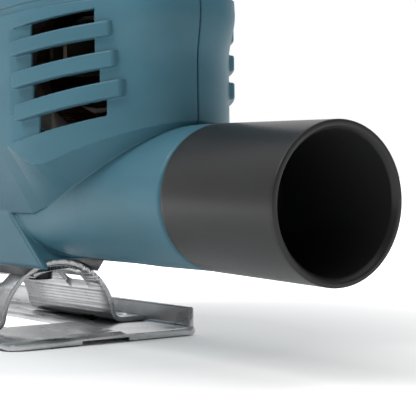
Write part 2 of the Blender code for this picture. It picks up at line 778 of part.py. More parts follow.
def make_drive_gear():
    spin = pivot("gear_spin", (0, 0, GEAR_Z))
    teeth = gear_loop(GEAR_TEETH, GEAR_R, 90.0, GEAR_Z)
    bore = arc(0, GEAR_Z, SHAFT_R + RUN, 0, 360, 25)[:-1]
    gear = outline_solid("drive_gear", [teeth, bore], "YZ", GEAR_X, GEAR_X + GEAR_WIDTH, "bright_steel")
    face = GEAR_X + GEAR_WIDTH + GAP
    pin = rod("crank_pin", "X", (face, CRANK, GEAR_Z), 3.5, 6.7, "bright_steel", sides=24)
    weight_loop = arc(0, GEAR_Z, 16.0, 110, 250, 11) + arc(0, GEAR_Z, 5.5, 250, 110, 7)
    weight = outline_solid("counterweight", [weight_loop], "YZ", face, face + 3.0, "lamination")
    hang(spin, gear, pin, weight)
    rod("gear_shaft", "X", (46.8, 0, GEAR_Z), SHAFT_R, 12.0, "bright_steel", sides=24)


def make_plunger():
    stroke = pivot("plunger_stroke", (PLUNGER_X, 0, GEAR_Z))
    bar = rod("plunger_rod", "Z", (PLUNGER_X, 0, 26.6), SHAFT_R, 79.0, "bright_steel")
    loops = [
        [(-15.4, GEAR_Z - 7.0), (15.4, GEAR_Z - 7.0), (15.4, GEAR_Z + 7.0), (-15.4, GEAR_Z + 7.0)],
        [(-12.8, GEAR_Z - 4.0), (-12.8, GEAR_Z + 4.0), (12.8, GEAR_Z + 4.0), (12.8, GEAR_Z - 4.0)],
    ]
    yoke = outline_solid("yoke", loops, "YZ", 66.5, 73.0, "bright_steel")
    boss = box("yoke_boss", (72.0, -7.0, GEAR_Z - 7.0), (88.5, 7.0, GEAR_Z + 7.0))
    cut(join(yoke, boss), rod("yoke_bore", "Z", (PLUNGER_X, 0, 50.0), SHAFT_R + GAP, 40.0))
    holder = rod("blade_holder", "Z", (PLUNGER_X, 0, 23.5), 5.6, 13.0, "zinc_steel", sides=24)
    cut(
        holder,
        rod("holder_bore", "Z", (PLUNGER_X, 0, 26.3), SHAFT_R + GAP, 12.0, sides=24),
        box("blade_slot", (PLUNGER_X - 4.0, -0.9, 20.0), (PLUNGER_X + 4.0, 0.9, 27.0)),
        rod("screw_bore", "X", (PLUNGER_X + 3.0, 0, 29.5), 2.2, 4.0, sides=16),
    )
    bevel(holder, 0.4, 1)
    screw = rod("blade_screw", "X", (PLUNGER_X + 4.4, 0, 29.5), 1.8, 3.4, "bright_steel", sides=16)
    hang(stroke, bar, yoke, smooth(bake(holder)), screw)


def make_bushes():
    bore = SHAFT_R + RUN
    ring("plunger_bush_lower", "Z", (PLUNGER_X, 0, 46.8), 7.0, bore, 6.4, "brass")
    ring("plunger_bush_upper", "Z", (PLUNGER_X, 0, 87.6), 7.0, bore, 8.0, "brass")


ARM_PIVOT = (64.0, 0.0, 37.5)


def make_roller():
    """A forked arm that swings about Y and carries the blade's support roller."""
    swing = pivot("roller_arm_swing", ARM_PIVOT)
    px, _, pz = ARM_PIVOT
    loop = arc(px, pz, 3.6, 60, 220, 7) + arc(ROLLER_X - 1.0, ROLLER_Z, 3.4, 200, 360, 7)
    arm = outline_solid("roller_arm", [loop], "XZ", -2.5, 2.5, "lamination")
    cut(arm, rod("arm_bore", "Y", (px, -5.0, pz), 1.5 + RUN, 10.0, sides=24))
    fork = box("fork_gap", (66.0, -1.9, 2.0), (80.0, 1.9, 15.0))
    axle_hole = rod("axle_hole", "Y", (ROLLER_X, -5.0, ROLLER_Z), 1.2, 10.0, sides=16)
    cut(arm, fork, axle_hole)
    axle = rod("roller_axle", "Y", (ROLLER_X, -2.4, ROLLER_Z), 0.9, 4.8, "bright_steel", sides=16)
    hang(swing, smooth(bake(arm)), axle)
    spin = pivot("roller_spin", (ROLLER_X, 0, ROLLER_Z))
    centre = (ROLLER_X, -1.6, ROLLER_Z)
    hang(spin, ring("roller", "Y", centre, ROLLER_R, 0.9 + RUN, 3.2, "bright_steel", 24))
    rod("arm_pin", "Y", (px, -5.0, pz), 1.5, 10.0, "bright_steel", sides=24)


# ---------------------------------------------------------------- controls

def make_trigger():
    press = pivot("trigger_press", (33.0, 0, 168.3))
    loop = [(11.2, 168.6), (11.2, 166.5), (13.6, 166.3), (14.0, 157.0)]
    loop += arc(33.0, 134.0, 24.0, 125, 55, 9)
    loop += [(52.0, 157.5), (52.4, 166.3), (54.8, 166.5), (54.8, 168.6)]
    trigger = outline_solid("trigger", [loop], "XZ", -9.0, 9.0, "black_plastic", rounding=0.0)
    hang(press, smooth(bevel(trigger, 1.2, 2)))
    switch = box("switch_body", (6.0, -10.0, 175.0), (47.0, 10.0, 187.0), "black_plastic")
    bevel(switch, 0.8, 1)


def make_lock_button():
    press = pivot("lock_press", (LOCK_X, 18.0, LOCK_Z))
    stem = turned("lock_button", "Y", (LOCK_X, 17.4, LOCK_Z), lock_profile(), "black_plastic", 24)
    hang(press, stem)


def lock_profile():
    """A cupped button with a stop flange inside the wall."""
    flange = LOCK_R + 1.6
    inside = [(flange, -4.2), (flange, -7.0), (2.0, -7.0), (2.0, -3.0)]
    return [(LOCK_R, -3.8)] + inside + [(3.8, 0.6), (4.4, 1.4), (LOCK_R, 0.8)]


def make_speed_dial():
    turn = pivot("dial_turn", (70.0, 0, 184.8))
    dial = ring("speed_dial", "Y", (70.0, -3.4, 184.8), 12.0, 2.0, 6.8, "black_plastic", 24)
    knurl = [rod("knurl_%d" % i, "Y", (70.0 + x, -5.0, 184.8 + z), 0.5, 10.0, sides=6)
             for i, (x, z) in enumerate(arc(0, 0, 12.1, 0, 330, 12))]
    hang(turn, smooth(bake(cut(dial, *knurl))))
    box("control_board", (64.0, -5.6, 112.0), (80.0, -4.0, 150.0), "circuit_board")


def make_action_lever():
    turn = pivot("action_lever_turn", (74.0, 21.0, 47.0))
    profile = [(0.0, 21.3), (6.9, 21.3), (6.9, 17.9), (3.1, 17.9), (3.1, 14.6), (0.0, 14.6)]
    lever = turned("action_lever", "Y", (74.0, 0.0, 47.0), profile, "black_plastic", 24, closed=False)
    join(lever, outline_solid("lever_grip", [lever_loop()], "XZ", 19.5, 25.0))
    hang(turn, smooth(bake(lever)))


def lever_loop():
    return arc(74.0, 47.0, 6.4, 12, 348, 15) + [(82.0, 45.0), (89.0, 45.3), (89.0, 48.7), (82.0, 49.0)]


def make_gland():
    """Rubber sleeve where the cord enters the rear of the handle."""
    profile = [(4.6, 0.0), (5.9, 26.0), (5.9, 38.0), (8.0, 38.3), (8.0, 42.0), (3.6, 42.0), (3.6, 0.0)]
    turned("cord_gland", "X", (-108.0, 0, GLAND_Z), profile, "black_rubber", 24)


# ---------------------------------------------------------------- shoe

def shoe_outline():
    left, right = SHOE_CORNERS
    rear = arc(SHOE_REAR + left, SHOE_HALF - left, left, 90, 180, 6)
    rear += arc(SHOE_REAR + right, right - SHOE_HALF, right, 180, 270, 6)
    front = arc(SHOE_FRONT - 12.0, 12.0 - SHOE_HALF, 12.0, 270, 360, 6)
    front += [(SHOE_FRONT, -6.0), (96.0, -6.0), (88.0, -13.5), (24.0, -13.5)]
    front += [(24.0, 13.5), (88.0, 13.5), (96.0, 6.0), (SHOE_FRONT, 6.0)]
    front += arc(SHOE_FRONT - 12.0, SHOE_HALF - 12.0, 12.0, 0, 90, 6)
    return rear + front


def make_shoe():
    plate = outline_solid("shoe_plate", [shoe_outline()], "XY", 0.0, SHOE_T, "zinc_steel")
    pad = box("middle_pad", (SHOE_REAR, -10.0, 1.0), (SHOE_REAR + PAD_LENGTH, 10.0, SHOE_T + 1.15))
    relief = box("sole_relief", (SHOE_REAR - 2.0, -9.0, -1.0), (SHOE_REAR + PAD_LENGTH - 2.0, 9.0, 1.15))
    cut(join(plate, pad), relief)
    for side, corner in zip((1, -1), SHOE_CORNERS):
        inner, outer = (SHOE_HALF - 2.0) * side, SHOE_HALF * side
        low = (SHOE_REAR + corner, min(inner, outer), 1.0)
        high = (SHOE_FRONT - 12.0, max(inner, outer), FLANGE_TOP)
        join(plate, box("flange_%d" % side, low, high))
    bake(plate)
    tilt = pivot("shoe_tilt", (40.0, 0, ARCH_Z))
    hang(tilt, plate, make_arch())


def arch_loop():
    """The arch with its outward feet: outer line, then back along the inner line."""
    foot_low = SHOE_T + GAP
    foot_high = foot_low + ARCH_T
    bend = 3.0
    start = math.degrees(math.asin((foot_high + bend - ARCH_Z) / (ARCH_R + bend)))
    centre_y = (ARCH_R + bend) * math.cos(math.radians(start))
    bend_z = foot_high + bend
    right = [(35.0, foot_high)] + arc(centre_y, bend_z, bend, 270, 180 + start, 5)
    over = arc(0, ARCH_Z, ARCH_R, start, 180 - start, 29)
    left = [(-y, z) for y, z in reversed(right)]
    under_bend = bend + ARCH_T
    inner_bend = arc(centre_y, bend_z, under_bend, 270, 180 + start, 5)
    inner_left = [(-35.0, foot_low)] + [(-y, z) for y, z in inner_bend]
    under = arc(0, ARCH_Z, ARCH_R - ARCH_T, 180 - start, start, 29)
    inner_right = [(-y, z) for y, z in reversed(inner_left)]
    return right + over[1:-1] + left + inner_left + under[1:-1] + inner_right


def make_arch():
    arch = outline_solid("shoe_arch", [arch_loop()], "YZ", ARCH_REAR, ARCH_FRONT, "zinc_steel")
    reach = ARCH_R * math.sin(TILT_SLOT)
    window = ARCH_R * math.sin(math.radians(54.0))
    floor = ARCH_Z + ARCH_R * math.cos(math.radians(54.0))
    cut(
        arch,
        box("bevel_slot", (20.0, -reach, 12.0), (36.0, reach, 30.0)),
        box("front_notch", (53.0, -window, floor - 1.0), (80.0, window, 30.0)),
    )
    return smooth(bake(arch))


def make_clamp():
    outer = ARCH_R - ARCH_T - GAP
    inner = outer - 1.9
    loop = arc(0, ARCH_Z, outer, 64, 116, 9) + arc(0, ARCH_Z, inner, 116, 64, 9)
    clamp = outline_solid("clamp_plate", [loop], "YZ", ARCH_REAR + 1.0, 42.0, "bright_steel")
    cut(clamp, box("clamp_slot", (20.7, -3.1, 15.0), (36.4, 3.1, 30.0)))
    hang(pivot("shoe_slide", (BOLT_X, 0, ARCH_Z)), bake(clamp))
    head_top = ARCH_Z + inner * math.cos(math.radians(26)) - 0.4
    bolt = rod("clamp_bolt", "Z", (BOLT_X, 0, head_top - 5.0), 4.6, 5.0, "bright_steel", sides=24)
    join(bolt, rod("clamp_shank", "Z", (BOLT_X, 0, head_top - 0.5), 2.6, 33.2 - head_top, sides=24))
    cut(bolt, rod("clamp_socket", "Z", (BOLT_X, 0, head_top - 6.0), 2.4, 4.0, sides=6))
    return smooth(bake(bolt))


# ---------------------------------------------------------------- blade guard and shield

def make_guard():
    """Bent wire in front of the blade."""
    curve = bpy.data.curves.new("finger_guard", "CURVE")
    curve.dimensions = "3D"
    curve.bevel_depth = 1.4 * MM
    curve.bevel_resolution = 2
    curve.use_fill_caps = True
    points = [(97.0, 41.5), (97.0, 24.0)] + [(97.0 + x, z) for x, z in arc(3.0, 20.0, 3.0, 180, 250, 4)]
    points += [(99.5, 15.0), (98.0, 10.0)]
    spline = curve.splines.new("POLY")
    spline.points.add(len(points) - 1)
    for point, (x, z) in zip(spline.points, points):
        point.co = (x * MM, 0.0, z * MM, 1.0)
    guide = bpy.data.objects.new("finger_guard_wire", curve)
    CUTTERS.objects.link(guide)
    graph = bpy.context.evaluated_depsgraph_get()
    mesh = bpy.data.meshes.new_from_object(guide.evaluated_get(graph))
    bpy.data.objects.remove(guide, do_unlink=True)
    bm = bmesh.new()
    bm.from_mesh(mesh)
    bmesh.ops.remove_doubles(bm, verts=bm.verts, dist=0.002 * MM)
    bmesh.ops.scale(bm, vec=(1 / MM, 1 / MM, 1 / MM), verts=bm.verts)
    smooth(place(bm, "finger_guard", "bright_steel"))


def make_shield():
    """Clear chip shield that clips around the front of the gear housing."""
    inner, outer = 17.9, 19.7
    front = 110.0
    loop = [(90.0, outer), (front - 6.0, outer)] + arc(front - 6.0, outer - 6.0, 6.0, 80, 0, 5)
    loop += arc(front - 6.0, 6.0 - outer, 6.0, 0, -80, 5) + [(front - 6.0, -outer), (90.0, -outer)]
    loop += [(90.0, -inner), (front - 6.0, -inner)]
    loop += arc(front - 6.0, 6.0 - outer, 4.2, -80, 0, 5)
    loop += arc(front - 6.0, outer - 6.0, 4.2, 0, 80, 5) + [(front - 6.0, inner), (90.0, inner)]
    shield = outline_solid("chip_shield", [loop], "XY", 34.0, 52.5, "clear_plastic")
    hang(pivot("shield_pull", (100.0, 0, 43.0)), shield)


# ---------------------------------------------------------------- build

def build():
    make_materials()
    make_housing()
    make_screws()
    make_nozzle()
    make_gear_housing()
    make_gear_cover()
    make_field()
    make_armature()
    make_bearings()
    make_brushes()
    make_drive_gear()
    make_plunger()
    make_bushes()
    make_roller()
    make_trigger()
    make_lock_button()
    make_speed_dial()
    make_action_lever()
    make_gland()
    make_shoe()
    make_clamp()
    make_guard()
    make_shield()


build()
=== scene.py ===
"""Looks of a compact jigsaw: moulded housing, dust nozzle, pressed shoe, metal parts and studio."""

import json
import math

import bmesh
import bpy
import numpy as np
from mathutils import Matrix, Vector


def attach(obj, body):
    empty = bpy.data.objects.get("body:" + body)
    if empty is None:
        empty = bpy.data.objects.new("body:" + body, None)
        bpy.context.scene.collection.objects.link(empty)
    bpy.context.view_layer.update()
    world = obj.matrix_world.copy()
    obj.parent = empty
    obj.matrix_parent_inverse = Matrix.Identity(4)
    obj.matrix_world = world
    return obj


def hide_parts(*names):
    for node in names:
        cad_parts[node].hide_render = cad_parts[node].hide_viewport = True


MM = 0.001

# Housing, in millimetres, close to the shape of the CAD halves
WALL = 2.6
BARREL_HALF = 33.0
BARREL_REAR = -76.7
BARREL_ARC = 59.0
BARREL_TOP = 126.0
BARREL_FRONT = 64.0
CROWN_Z = [104.0, 112.0, 118.0, 123.0, 126.0]  # the barrel's crown draws in over these heights
CROWN_IN = [0.0, 1.0, 3.2, 7.6, 13.0]
UNDER_IN = 12.8                # how far the barrel draws in below its edge line
EDGE_LINE = [(-76.7, 71.2), (-38.0, 59.2), (-32.0, 59.0), (-25.0, 61.4), (-17.0, 65.0)]
UNDER_LINE = [(-76.7, 60.5), (-10.0, 43.0)]
HANDLE_TOP = 195.0
HANDLE_ROUND = 10.0
HANDLE_CORE = 7.0
NOSE_FRONT = 108.0
NOSE_REAR = 46.5
NOSE_HALF = 30.0
NOSE_LOW = 58.0
NOSE_TOP = 140.0
NOSE_Z = [58.0, 66.0, 108.0, 124.0, 140.0]
BELLY_HALF = 20.5
BELLY_Z = 24.8
BELLY_TOP = 50.0
BELLY_FRONT = 62.0
BELLY_REAR = -17.0
BELLY_SLANT = (17.2, 22.0)     # height and length of the belly's slanted rear
ARCH_SPACE_TOP = 27.6
DUCT_R = 21.5
DUCT_REAR = -87.9
DUCT_Z = 48.5
DUCT_BORE = 19.0
DUCT_X = [-60.0, -38.0, -16.0, 8.0]            # stations where the duct's section is given
DUCT_HALF = [21.5, 21.2, 19.8, 19.0]
DUCT_TOP = [70.0, 67.0, 58.0, 54.0]
DUCT_LIFT = [0.0, 0.6, 1.4, 1.6]
DUCT_SQUARE = [1.0, 0.9, 0.75, 0.7]            # 1 is an ellipse, less is squarer
GLAND_Z = 168.0
GLAND_REAR = -108.0
SEAM = 0.15
VENTS = [                      # front and rear ends, middle line's height at each end, and width
    (-29.6, -57.7, 99.1, 101.6, 6.7),
    (-29.6, -57.7, 90.8, 93.7, 9.4),
    (-30.4, -59.1, 80.9, 84.7, 9.6),
    (-33.5, -61.0, 72.1, 76.9, 7.6),
]
RIBS = [                       # the same five values as for a vent
    (-22.5, -63.6, 95.1, 98.8, 4.6),
    (-23.5, -64.6, 85.2, 89.9, 5.0),
    (-25.0, -66.4, 75.0, 81.2, 5.2),
]
RIB_PROUD = 1.7
LEAD_IN = -19.5                # where the scoops in front of the vents begin
LIP = 1.3                      # chamfer round the duct's mouth
SCREWS = [                     # place in the side view, and half width of the housing there
    (-60.0, 176.0, 17.0),
    (86.0, 158.0, 17.0),
    (97.0, 112.0, 24.5),
    (-58.0, 112.0, 21.0),
    (-8.5, 32.0, 20.5),
]
SCREW_POCKET_R = 4.1
SCREW_POCKET_DEPTH = 4.0
GROOVE = [(-60.0, 109.2), (64.0, 105.2)]       # line of the shallow groove under the barrel's top
GROOVE_R = 1.0
GROOVE_FRONT = 62.0

# Nozzle
NOZZLE_LENGTH = 52.15
NOZZLE_PITCH = math.radians(1.26)
NOZZLE_END_R = 22.0
NOZZLE_BORE_R = 19.35
SPIGOT_R = 18.5
SPIGOT_BORE_R = 16.6
SPIGOT_LENGTH = 11.0

# Handle controls
LOCK_X = 56.0
LOCK_Z = 180.6
LOCK_R = 5.0
LOCK_Y = 17.4
DIAL_X = 70.0
DIAL_Z = 184.8
DIAL_R = 12.0
DIAL_HALF = 3.4
DIAL_BORE_R = 2.0
DIAL_TEETH = 40

# Blade guard
GUARD_R = 1.4
GUARD_SIDES = 28

# Shoe
SHOE_REAR = -21.4
SHOE_FRONT = 140.5
SHOE_HALF = 37.05
SHOE_CORNERS = (8.0, 3.0)
PAD_LENGTH = 12.0
PAD_HALF = 10.0
PAD_RISE = 1.15
PAD_HOLLOW = 1.15              # the hollow under the pad reaches up to here
FRONT_CORNER = 12.0
SLOT_REAR = 24.0               # blade slot, which narrows to the sight gap at the front
SLOT_FRONT = 96.0
SLOT_HALF = 13.5
SIGHT_GAP_HALF = 6.0
SHOE_T = 2.2
FLANGE_TOP = 9.24
ARCH_R = 22.77
ARCH_T = 1.7
ARCH_Z = 3.34
ARCH_REAR = 10.1
ARCH_FRONT = 73.0
FOOT_Z = SHOE_T + 0.3          # underside of the arch's feet
FOOT_END = 35.0
TILT_SLOT = math.radians(52.5)                 # the bolt's slot reaches this far round the arch
NOTCH_REACH = math.radians(54.0)               # and the blade's notch this far
WELD_X = (18.0, 41.0, 64.0)
WELD_Y = 30.6
CLAMP_FRONT = 42.0
CLAMP_T = 1.9
BOLT_X = 24.0
BOLT_R = 2.5
BOLT_TOP = 33.0
BOLT_HEAD = 3.4
SOCKET_R = 2.4


# ---------------------------------------------------------------- distance fields

def smooth_min(a, b, k):
    """The smaller field, blended over a band k wide."""
    h = np.clip(0.5 + 0.5 * (b - a) / k, 0.0, 1.0)
    return b + (a - b) * h - k * h * (1.0 - h)


def smooth_max(a, b, k):
    """The larger field, blended over a band k wide."""
    return -smooth_min(-a, -b, k)


def line_value(x, points):
    """Height of a broken line at x."""
    xs, vs = zip(*points)
    return np.interp(x, xs, vs)


def arc(cx, cy, radius, start, end, count):
    """Points on an arc, angles in degrees."""
    angles = np.radians(np.linspace(start, end, count))
    return [(cx + radius * math.cos(a), cy + radius * math.sin(a)) for a in angles]


def polygon_distance(x, z, loop):
    """Signed distance to a closed outline, negative inside."""
    best = np.full(np.broadcast(x, z).shape, 1e9)
    inside = np.zeros(best.shape, bool)
    for (ax, az), (bx, bz) in zip(loop, loop[1:] + loop[:1]):
        ex, ez = bx - ax, bz - az
        px, pz = x - ax, z - az
        t = np.clip((px * ex + pz * ez) / (ex * ex + ez * ez), 0.0, 1.0)
        best = np.minimum(best, (px - ex * t) ** 2 + (pz - ez * t) ** 2)
        if ez != 0.0:
            crosses = (az > z) != (bz > z)
            inside ^= crosses & (x < ax + ex * (z - az) / ez)
    return np.sqrt(best) * np.where(inside, -1.0, 1.0)


def bar_distance(x, z, spec, corner):
    """Distance in the side view to a slanted bar with rounded corners."""
    front, rear, z_front, z_rear, height = spec
    mid_x, mid_z = (front + rear) / 2, (z_front + z_rear) / 2
    slope = (z_front - z_rear) / (front - rear)
    du = np.abs(x - mid_x) - (front - rear) / 2 + corner
    dv = np.abs(z - mid_z - slope * (x - mid_x)) - height / 2 + corner
    outside = np.hypot(np.maximum(du, 0.0), np.maximum(dv, 0.0))
    return outside + np.minimum(np.maximum(du, dv), 0.0) - corner


def disc_distance(x, z, cx, cz, radius):
    """Distance in the side view to a disc."""
    return np.hypot(x - cx, z - cz) - radius


# ---------------------------------------------------------------- housing

def barrel_plan(x, y, shrink):
    """Distance to the barrel's plan outline: a half ellipse behind straight sides."""
    half = BARREL_HALF - shrink
    length = BARREL_ARC - shrink
    dx = np.minimum(x - (BARREL_REAR + BARREL_ARC), 0.0)
    q = np.sqrt((dx / length) ** 2 + (y / half) ** 2) + 1e-6
    slope = np.sqrt((dx / length ** 2) ** 2 + (y / half ** 2) ** 2) / q + 1e-6
    return (q - 1.0) / slope


def barrel(x, y, z):
    """Motor barrel: its sides draw in below the edge line and round off at the top."""
    edge = line_value(x, EDGE_LINE)
    under = line_value(x, UNDER_LINE)
    below = np.clip((edge - z) / (edge - under), 0.0, 1.3)
    shrink = UNDER_IN * below + np.interp(z, CROWN_Z, CROWN_IN)
    side = barrel_plan(x, y, shrink) * np.where(below > 0.0, 0.87, 1.0)
    body = smooth_max(side, x - (BARREL_FRONT - shrink), 3.0)
    body = smooth_max(body, z - BARREL_TOP, 4.0)
    return np.maximum(body, under - z)


def duct(x, y, z):
    """Dust duct: round at its mouth, squarer and taller where it runs into the barrel."""
    half = np.interp(x, DUCT_X, DUCT_HALF)
    top = np.interp(x, DUCT_X, DUCT_TOP)
    power = 2.0 / np.interp(x, DUCT_X, DUCT_SQUARE)
    low = DUCT_Z - DUCT_R + np.interp(x, DUCT_X, DUCT_LIFT)
    middle, height = (top + low) / 2, (top - low) / 2
    q = (np.abs(y / half) ** power + np.abs((z - middle) / height) ** power + 1e-9) ** (1.0 / power)
    tube = (q - 1.0) * np.minimum(half, height)
    mouth = DUCT_REAR - x - (z - DUCT_Z) * math.tan(NOZZLE_PITCH)
    lip = (tube + mouth + LIP) / math.sqrt(2.0)
    tube = smooth_max(smooth_max(tube, mouth, 0.3), lip, 0.5)
    return np.maximum(tube, x - DUCT_X[-1])


def belly(x, y, z):
    """Narrow lower body over the shoe, with a slanted rear."""
    rise, run = BELLY_SLANT
    rear = (-(x - BELLY_REAR) * rise + (z - BELLY_Z) * run) / math.hypot(rise, run)
    body = smooth_max(np.abs(y) - BELLY_HALF, BELLY_Z - z, 2.0)
    body = smooth_max(body, rear, 1.4)
    return np.maximum(np.maximum(body, z - BELLY_TOP), x - BELLY_FRONT)


def nose(x, y, z):
    """Gearbox end of the housing, narrower towards its front and top."""
    front = NOSE_FRONT + np.interp(z, NOSE_Z, [-5.0, 0.0, 0.0, -2.0, -6.0])
    half = NOSE_HALF + np.interp(z, NOSE_Z, [-3.0, 0.0, 0.0, -4.0, -14.0])
    front_half = np.interp(z, NOSE_Z, [24.5, 27.5, 27.0, 23.0, 15.0])
    rear = NOSE_REAR + np.interp(z, NOSE_Z[2:], [0.0, 6.0, 19.0])
    share = np.clip((x - NOSE_REAR) / (NOSE_FRONT - NOSE_REAR), 0.0, 1.0)
    side = np.abs(y) - (half + (front_half - half) * share)
    plan = smooth_max(side, x - front, 9.0)
    body = smooth_max(smooth_max(plan, z - NOSE_TOP, 5.0), NOSE_LOW - z, 2.0)
    return smooth_max(body, rear - x, 1.0)


def handle_loops():
    """Side outlines of the handle's middle layer and of the hand hole."""
    top = HANDLE_TOP - HANDLE_ROUND
    outer = [(-66.0, 104.0), (88.0, 104.0), (91.0, 140.0)]
    outer += arc(71.0, top - 18.0, 18.0, 10, 90, 12)
    outer += arc(10.0, top - 400.0, 400.0, 91.5, 98.5, 12)
    outer += arc(-50.0, top - 19.0, 16.0, 100, 175, 12)
    hole = arc(48.0, 134.0, 17.0, 0, -90, 10)
    hole += arc(-40.0, 132.0, 15.0, -90, -180, 10)
    hole += arc(-39.0, 157.0, 16.0, 180, 90, 10)
    hole += arc(47.0, 155.0, 18.0, 90, 0, 10)
    return outer, hole


def handle(x, y, z):
    """The loop handle: a thick flat ring with its edges fully rounded."""
    outer, hole = handle_loops()
    flat = np.maximum(polygon_distance(x, z, outer), -polygon_distance(x, z, hole))
    side = np.abs(y) - HANDLE_CORE
    outside = np.hypot(np.maximum(flat, 0.0), np.maximum(side, 0.0))
    return outside + np.minimum(np.maximum(flat, side), 0.0) - HANDLE_ROUND


def skin(x, y, z):
    """Outer surface of the closed housing, without ribs and openings."""
    body = smooth_min(barrel(x, y, z), nose(x, y, z), 1.5)
    body = smooth_min(body, handle(x, y, z), 9.0)
    body = smooth_min(body, duct(x, y, z), 0.35)
    return smooth_min(body, belly(x, y, z), 0.6)


def housing(x, y, z, left):
    """One clamshell half as a distance field; y counts outwards from the seam."""
    whole = skin(x, y, z)
    ridge = barrel_plan(x, y, 0.0)
    shell = np.maximum(whole, -(whole + WALL))
    for front, rear, z_front, z_rear, height in VENTS:
        slope = (z_front - z_rear) / (front - rear)
        lead = (LEAD_IN, front - 4.0, z_front + slope * (LEAD_IN - front), z_front - 4.0 * slope, height)
        depth = RIB_PROUD * np.clip((LEAD_IN - x) / (LEAD_IN - front), 0.0, 1.0)
        shell = smooth_max(shell, -np.maximum(bar_distance(x, z, lead, 0.3), -depth - ridge), 0.3)
        vent = np.maximum(bar_distance(x, z, (front, rear, z_front, z_rear, height), 0.4), -6.0 - ridge)
        shell = smooth_max(shell, -vent, 0.35)
    for spec in RIBS:
        rib = smooth_max(bar_distance(x, z, spec, 0.9), ridge - RIB_PROUD, 0.8)
        shell = smooth_min(shell, np.maximum(rib, -1.6 - ridge), 0.3)
    across = (z - line_value(x, GROOVE)) * 0.8
    groove = np.maximum(np.hypot(whole, across) - GROOVE_R, x - GROOVE_FRONT)
    shell = smooth_max(shell, -groove, 0.3)
    for opening in openings(x, y, z, left):
        shell = smooth_max(shell, -opening, 0.7)
    return smooth_max(shell, SEAM - y, 0.5)


def block(x, y, z, low, high):
    """Distance to a box, for cutting."""
    dx = np.maximum(low[0] - x, x - high[0])
    dy = np.maximum(low[1] - y, y - high[1])
    dz = np.maximum(low[2] - z, z - high[2])
    return np.maximum(np.maximum(dx, dy), dz)


def openings(x, y, z, left):
    """Cuts for the gearbox, shoe, trigger, dial, gland and duct, and one side's lock button or screws."""
    bay = BELLY_HALF - WALL
    cuts = [
        block(x, y, z, (7.7, -9.0, 10.0), (100.3, bay, 60.0)),
        block(x, y, z, (45.0, -9.0, 50.0), (103.6, 24.9, 66.0)),
        block(x, y, z, (-20.0, -9.0, 10.0), (8.5, bay, ARCH_SPACE_TOP)),
        block(x, y, z, (13.0, -9.0, 150.0), (53.0, 9.5, 168.0)),
        block(x, y, z, (55.5, -9.0, 172.0), (84.5, 4.2, 200.0)),
        np.maximum(np.hypot(y, z - GLAND_Z) - 6.3, x + 60.0),
        np.maximum(np.hypot(y, z - DUCT_Z) - DUCT_BORE, x + 72.0),
    ]
    if left:
        cuts.append(np.maximum(disc_distance(x, z, LOCK_X, LOCK_Z, LOCK_R + 0.4), 10.0 - y))
        return cuts
    for sx, sz, half in SCREWS:
        pocket = disc_distance(x, z, sx, sz, SCREW_POCKET_R)
        cuts.append(np.maximum(pocket, half - SCREW_POCKET_DEPTH - y))
    return cuts


# ---------------------------------------------------------------- mesher

FINE = 0.55                    # grid steps where the surface has detail and where it hasn't
COARSE = 1.1
KEPT_FACES = 0.45              # share of the grid's faces that stays


def spaced(stops):
    """Grid lines from (start, step) stops; the last stop only ends the range."""
    lines = []
    for (start, step), (end, _) in zip(stops, stops[1:]):
        count = max(1, round((end - start) / step))
        lines += list(start + (end - start) * np.arange(count) / count)
    return np.array(lines + [stops[-1][0]])


def slope_at(field, points, step):
    """The field's values at the points, and its slope there."""
    values = field(*points.T)
    columns = []
    for axis in range(3):
        shift = np.zeros(3)
        shift[axis] = step
        columns.append((field(*(points + shift).T) - values) / step)
    return values, np.stack(columns, axis=1)


def surface_net(field, xs, ys, zs):
    """Points and quads of the field's zero surface on a grid, one point in each crossed cell."""
    values = field(xs[:, None, None], ys[None, :, None], zs[None, None, :])
    inside = values < 0.0
    nx, ny, nz = (n - 1 for n in values.shape)
    count = np.zeros((nx, ny, nz), np.int8)
    corners = [(i, j, k) for i in (0, 1) for j in (0, 1) for k in (0, 1)]
    for i, j, k in corners:
        count += inside[i:nx + i, j:ny + j, k:nz + k]
    cells = np.argwhere((count > 0) & (count < 8))
    index = np.full((nx, ny, nz), -1, np.int64)
    index[tuple(cells.T)] = np.arange(len(cells))
    total = np.zeros((len(cells), 3))
    crossings = np.zeros(len(cells))
    grid = (xs, ys, zs)
    for a in corners:
        for axis in range(3):
            if a[axis]:
                continue
            b = list(a)
            b[axis] = 1
            pa, pb = cells + a, cells + b
            va, vb = values[tuple(pa.T)], values[tuple(pb.T)]
            hit = (va < 0) != (vb < 0)
            t = np.where(hit, va / np.where(hit, va - vb, 1.0), 0.0)
            for c in range(3):
                start, end = grid[c][pa[:, c]], grid[c][pb[:, c]]
                total[:, c] += np.where(hit, start + (end - start) * t, 0.0)
            crossings += hit
    points = total / crossings[:, None]
    quads = []
    for axis in range(3):
        u, v = (axis + 1) % 3, (axis + 2) % 3
        ahead = [slice(None)] * 3
        ahead[axis] = slice(1, None)
        here = [slice(None)] * 3
        here[axis] = slice(None, -1)
        change = inside[tuple(here)] != inside[tuple(ahead)]
        edges = np.argwhere(change)
        edges = edges[(edges[:, u] > 0) & (edges[:, v] > 0)]
        edges = edges[(edges[:, u] < (nx, ny, nz)[u]) & (edges[:, v] < (nx, ny, nz)[v])]
        outward = inside[tuple(edges.T)]
        ring = []
        for du, dv in ((1, 1), (0, 1), (0, 0), (1, 0)):
            cell = edges.copy()
            cell[:, u] -= du
            cell[:, v] -= dv
            ring.append(index[tuple(cell.T)])
        quad = np.stack(ring, axis=1)
        quad[~outward] = quad[~outward][:, ::-1]
        quads.append(quad)
    return points, np.concatenate(quads)


def apply_modifiers(obj):
    """Give the piece the mesh that its modifiers make."""
    graph = bpy.context.evaluated_depsgraph_get()
    mesh = bpy.data.meshes.new_from_object(obj.evaluated_get(graph))
    obj.modifiers.clear()
    obj.data = mesh


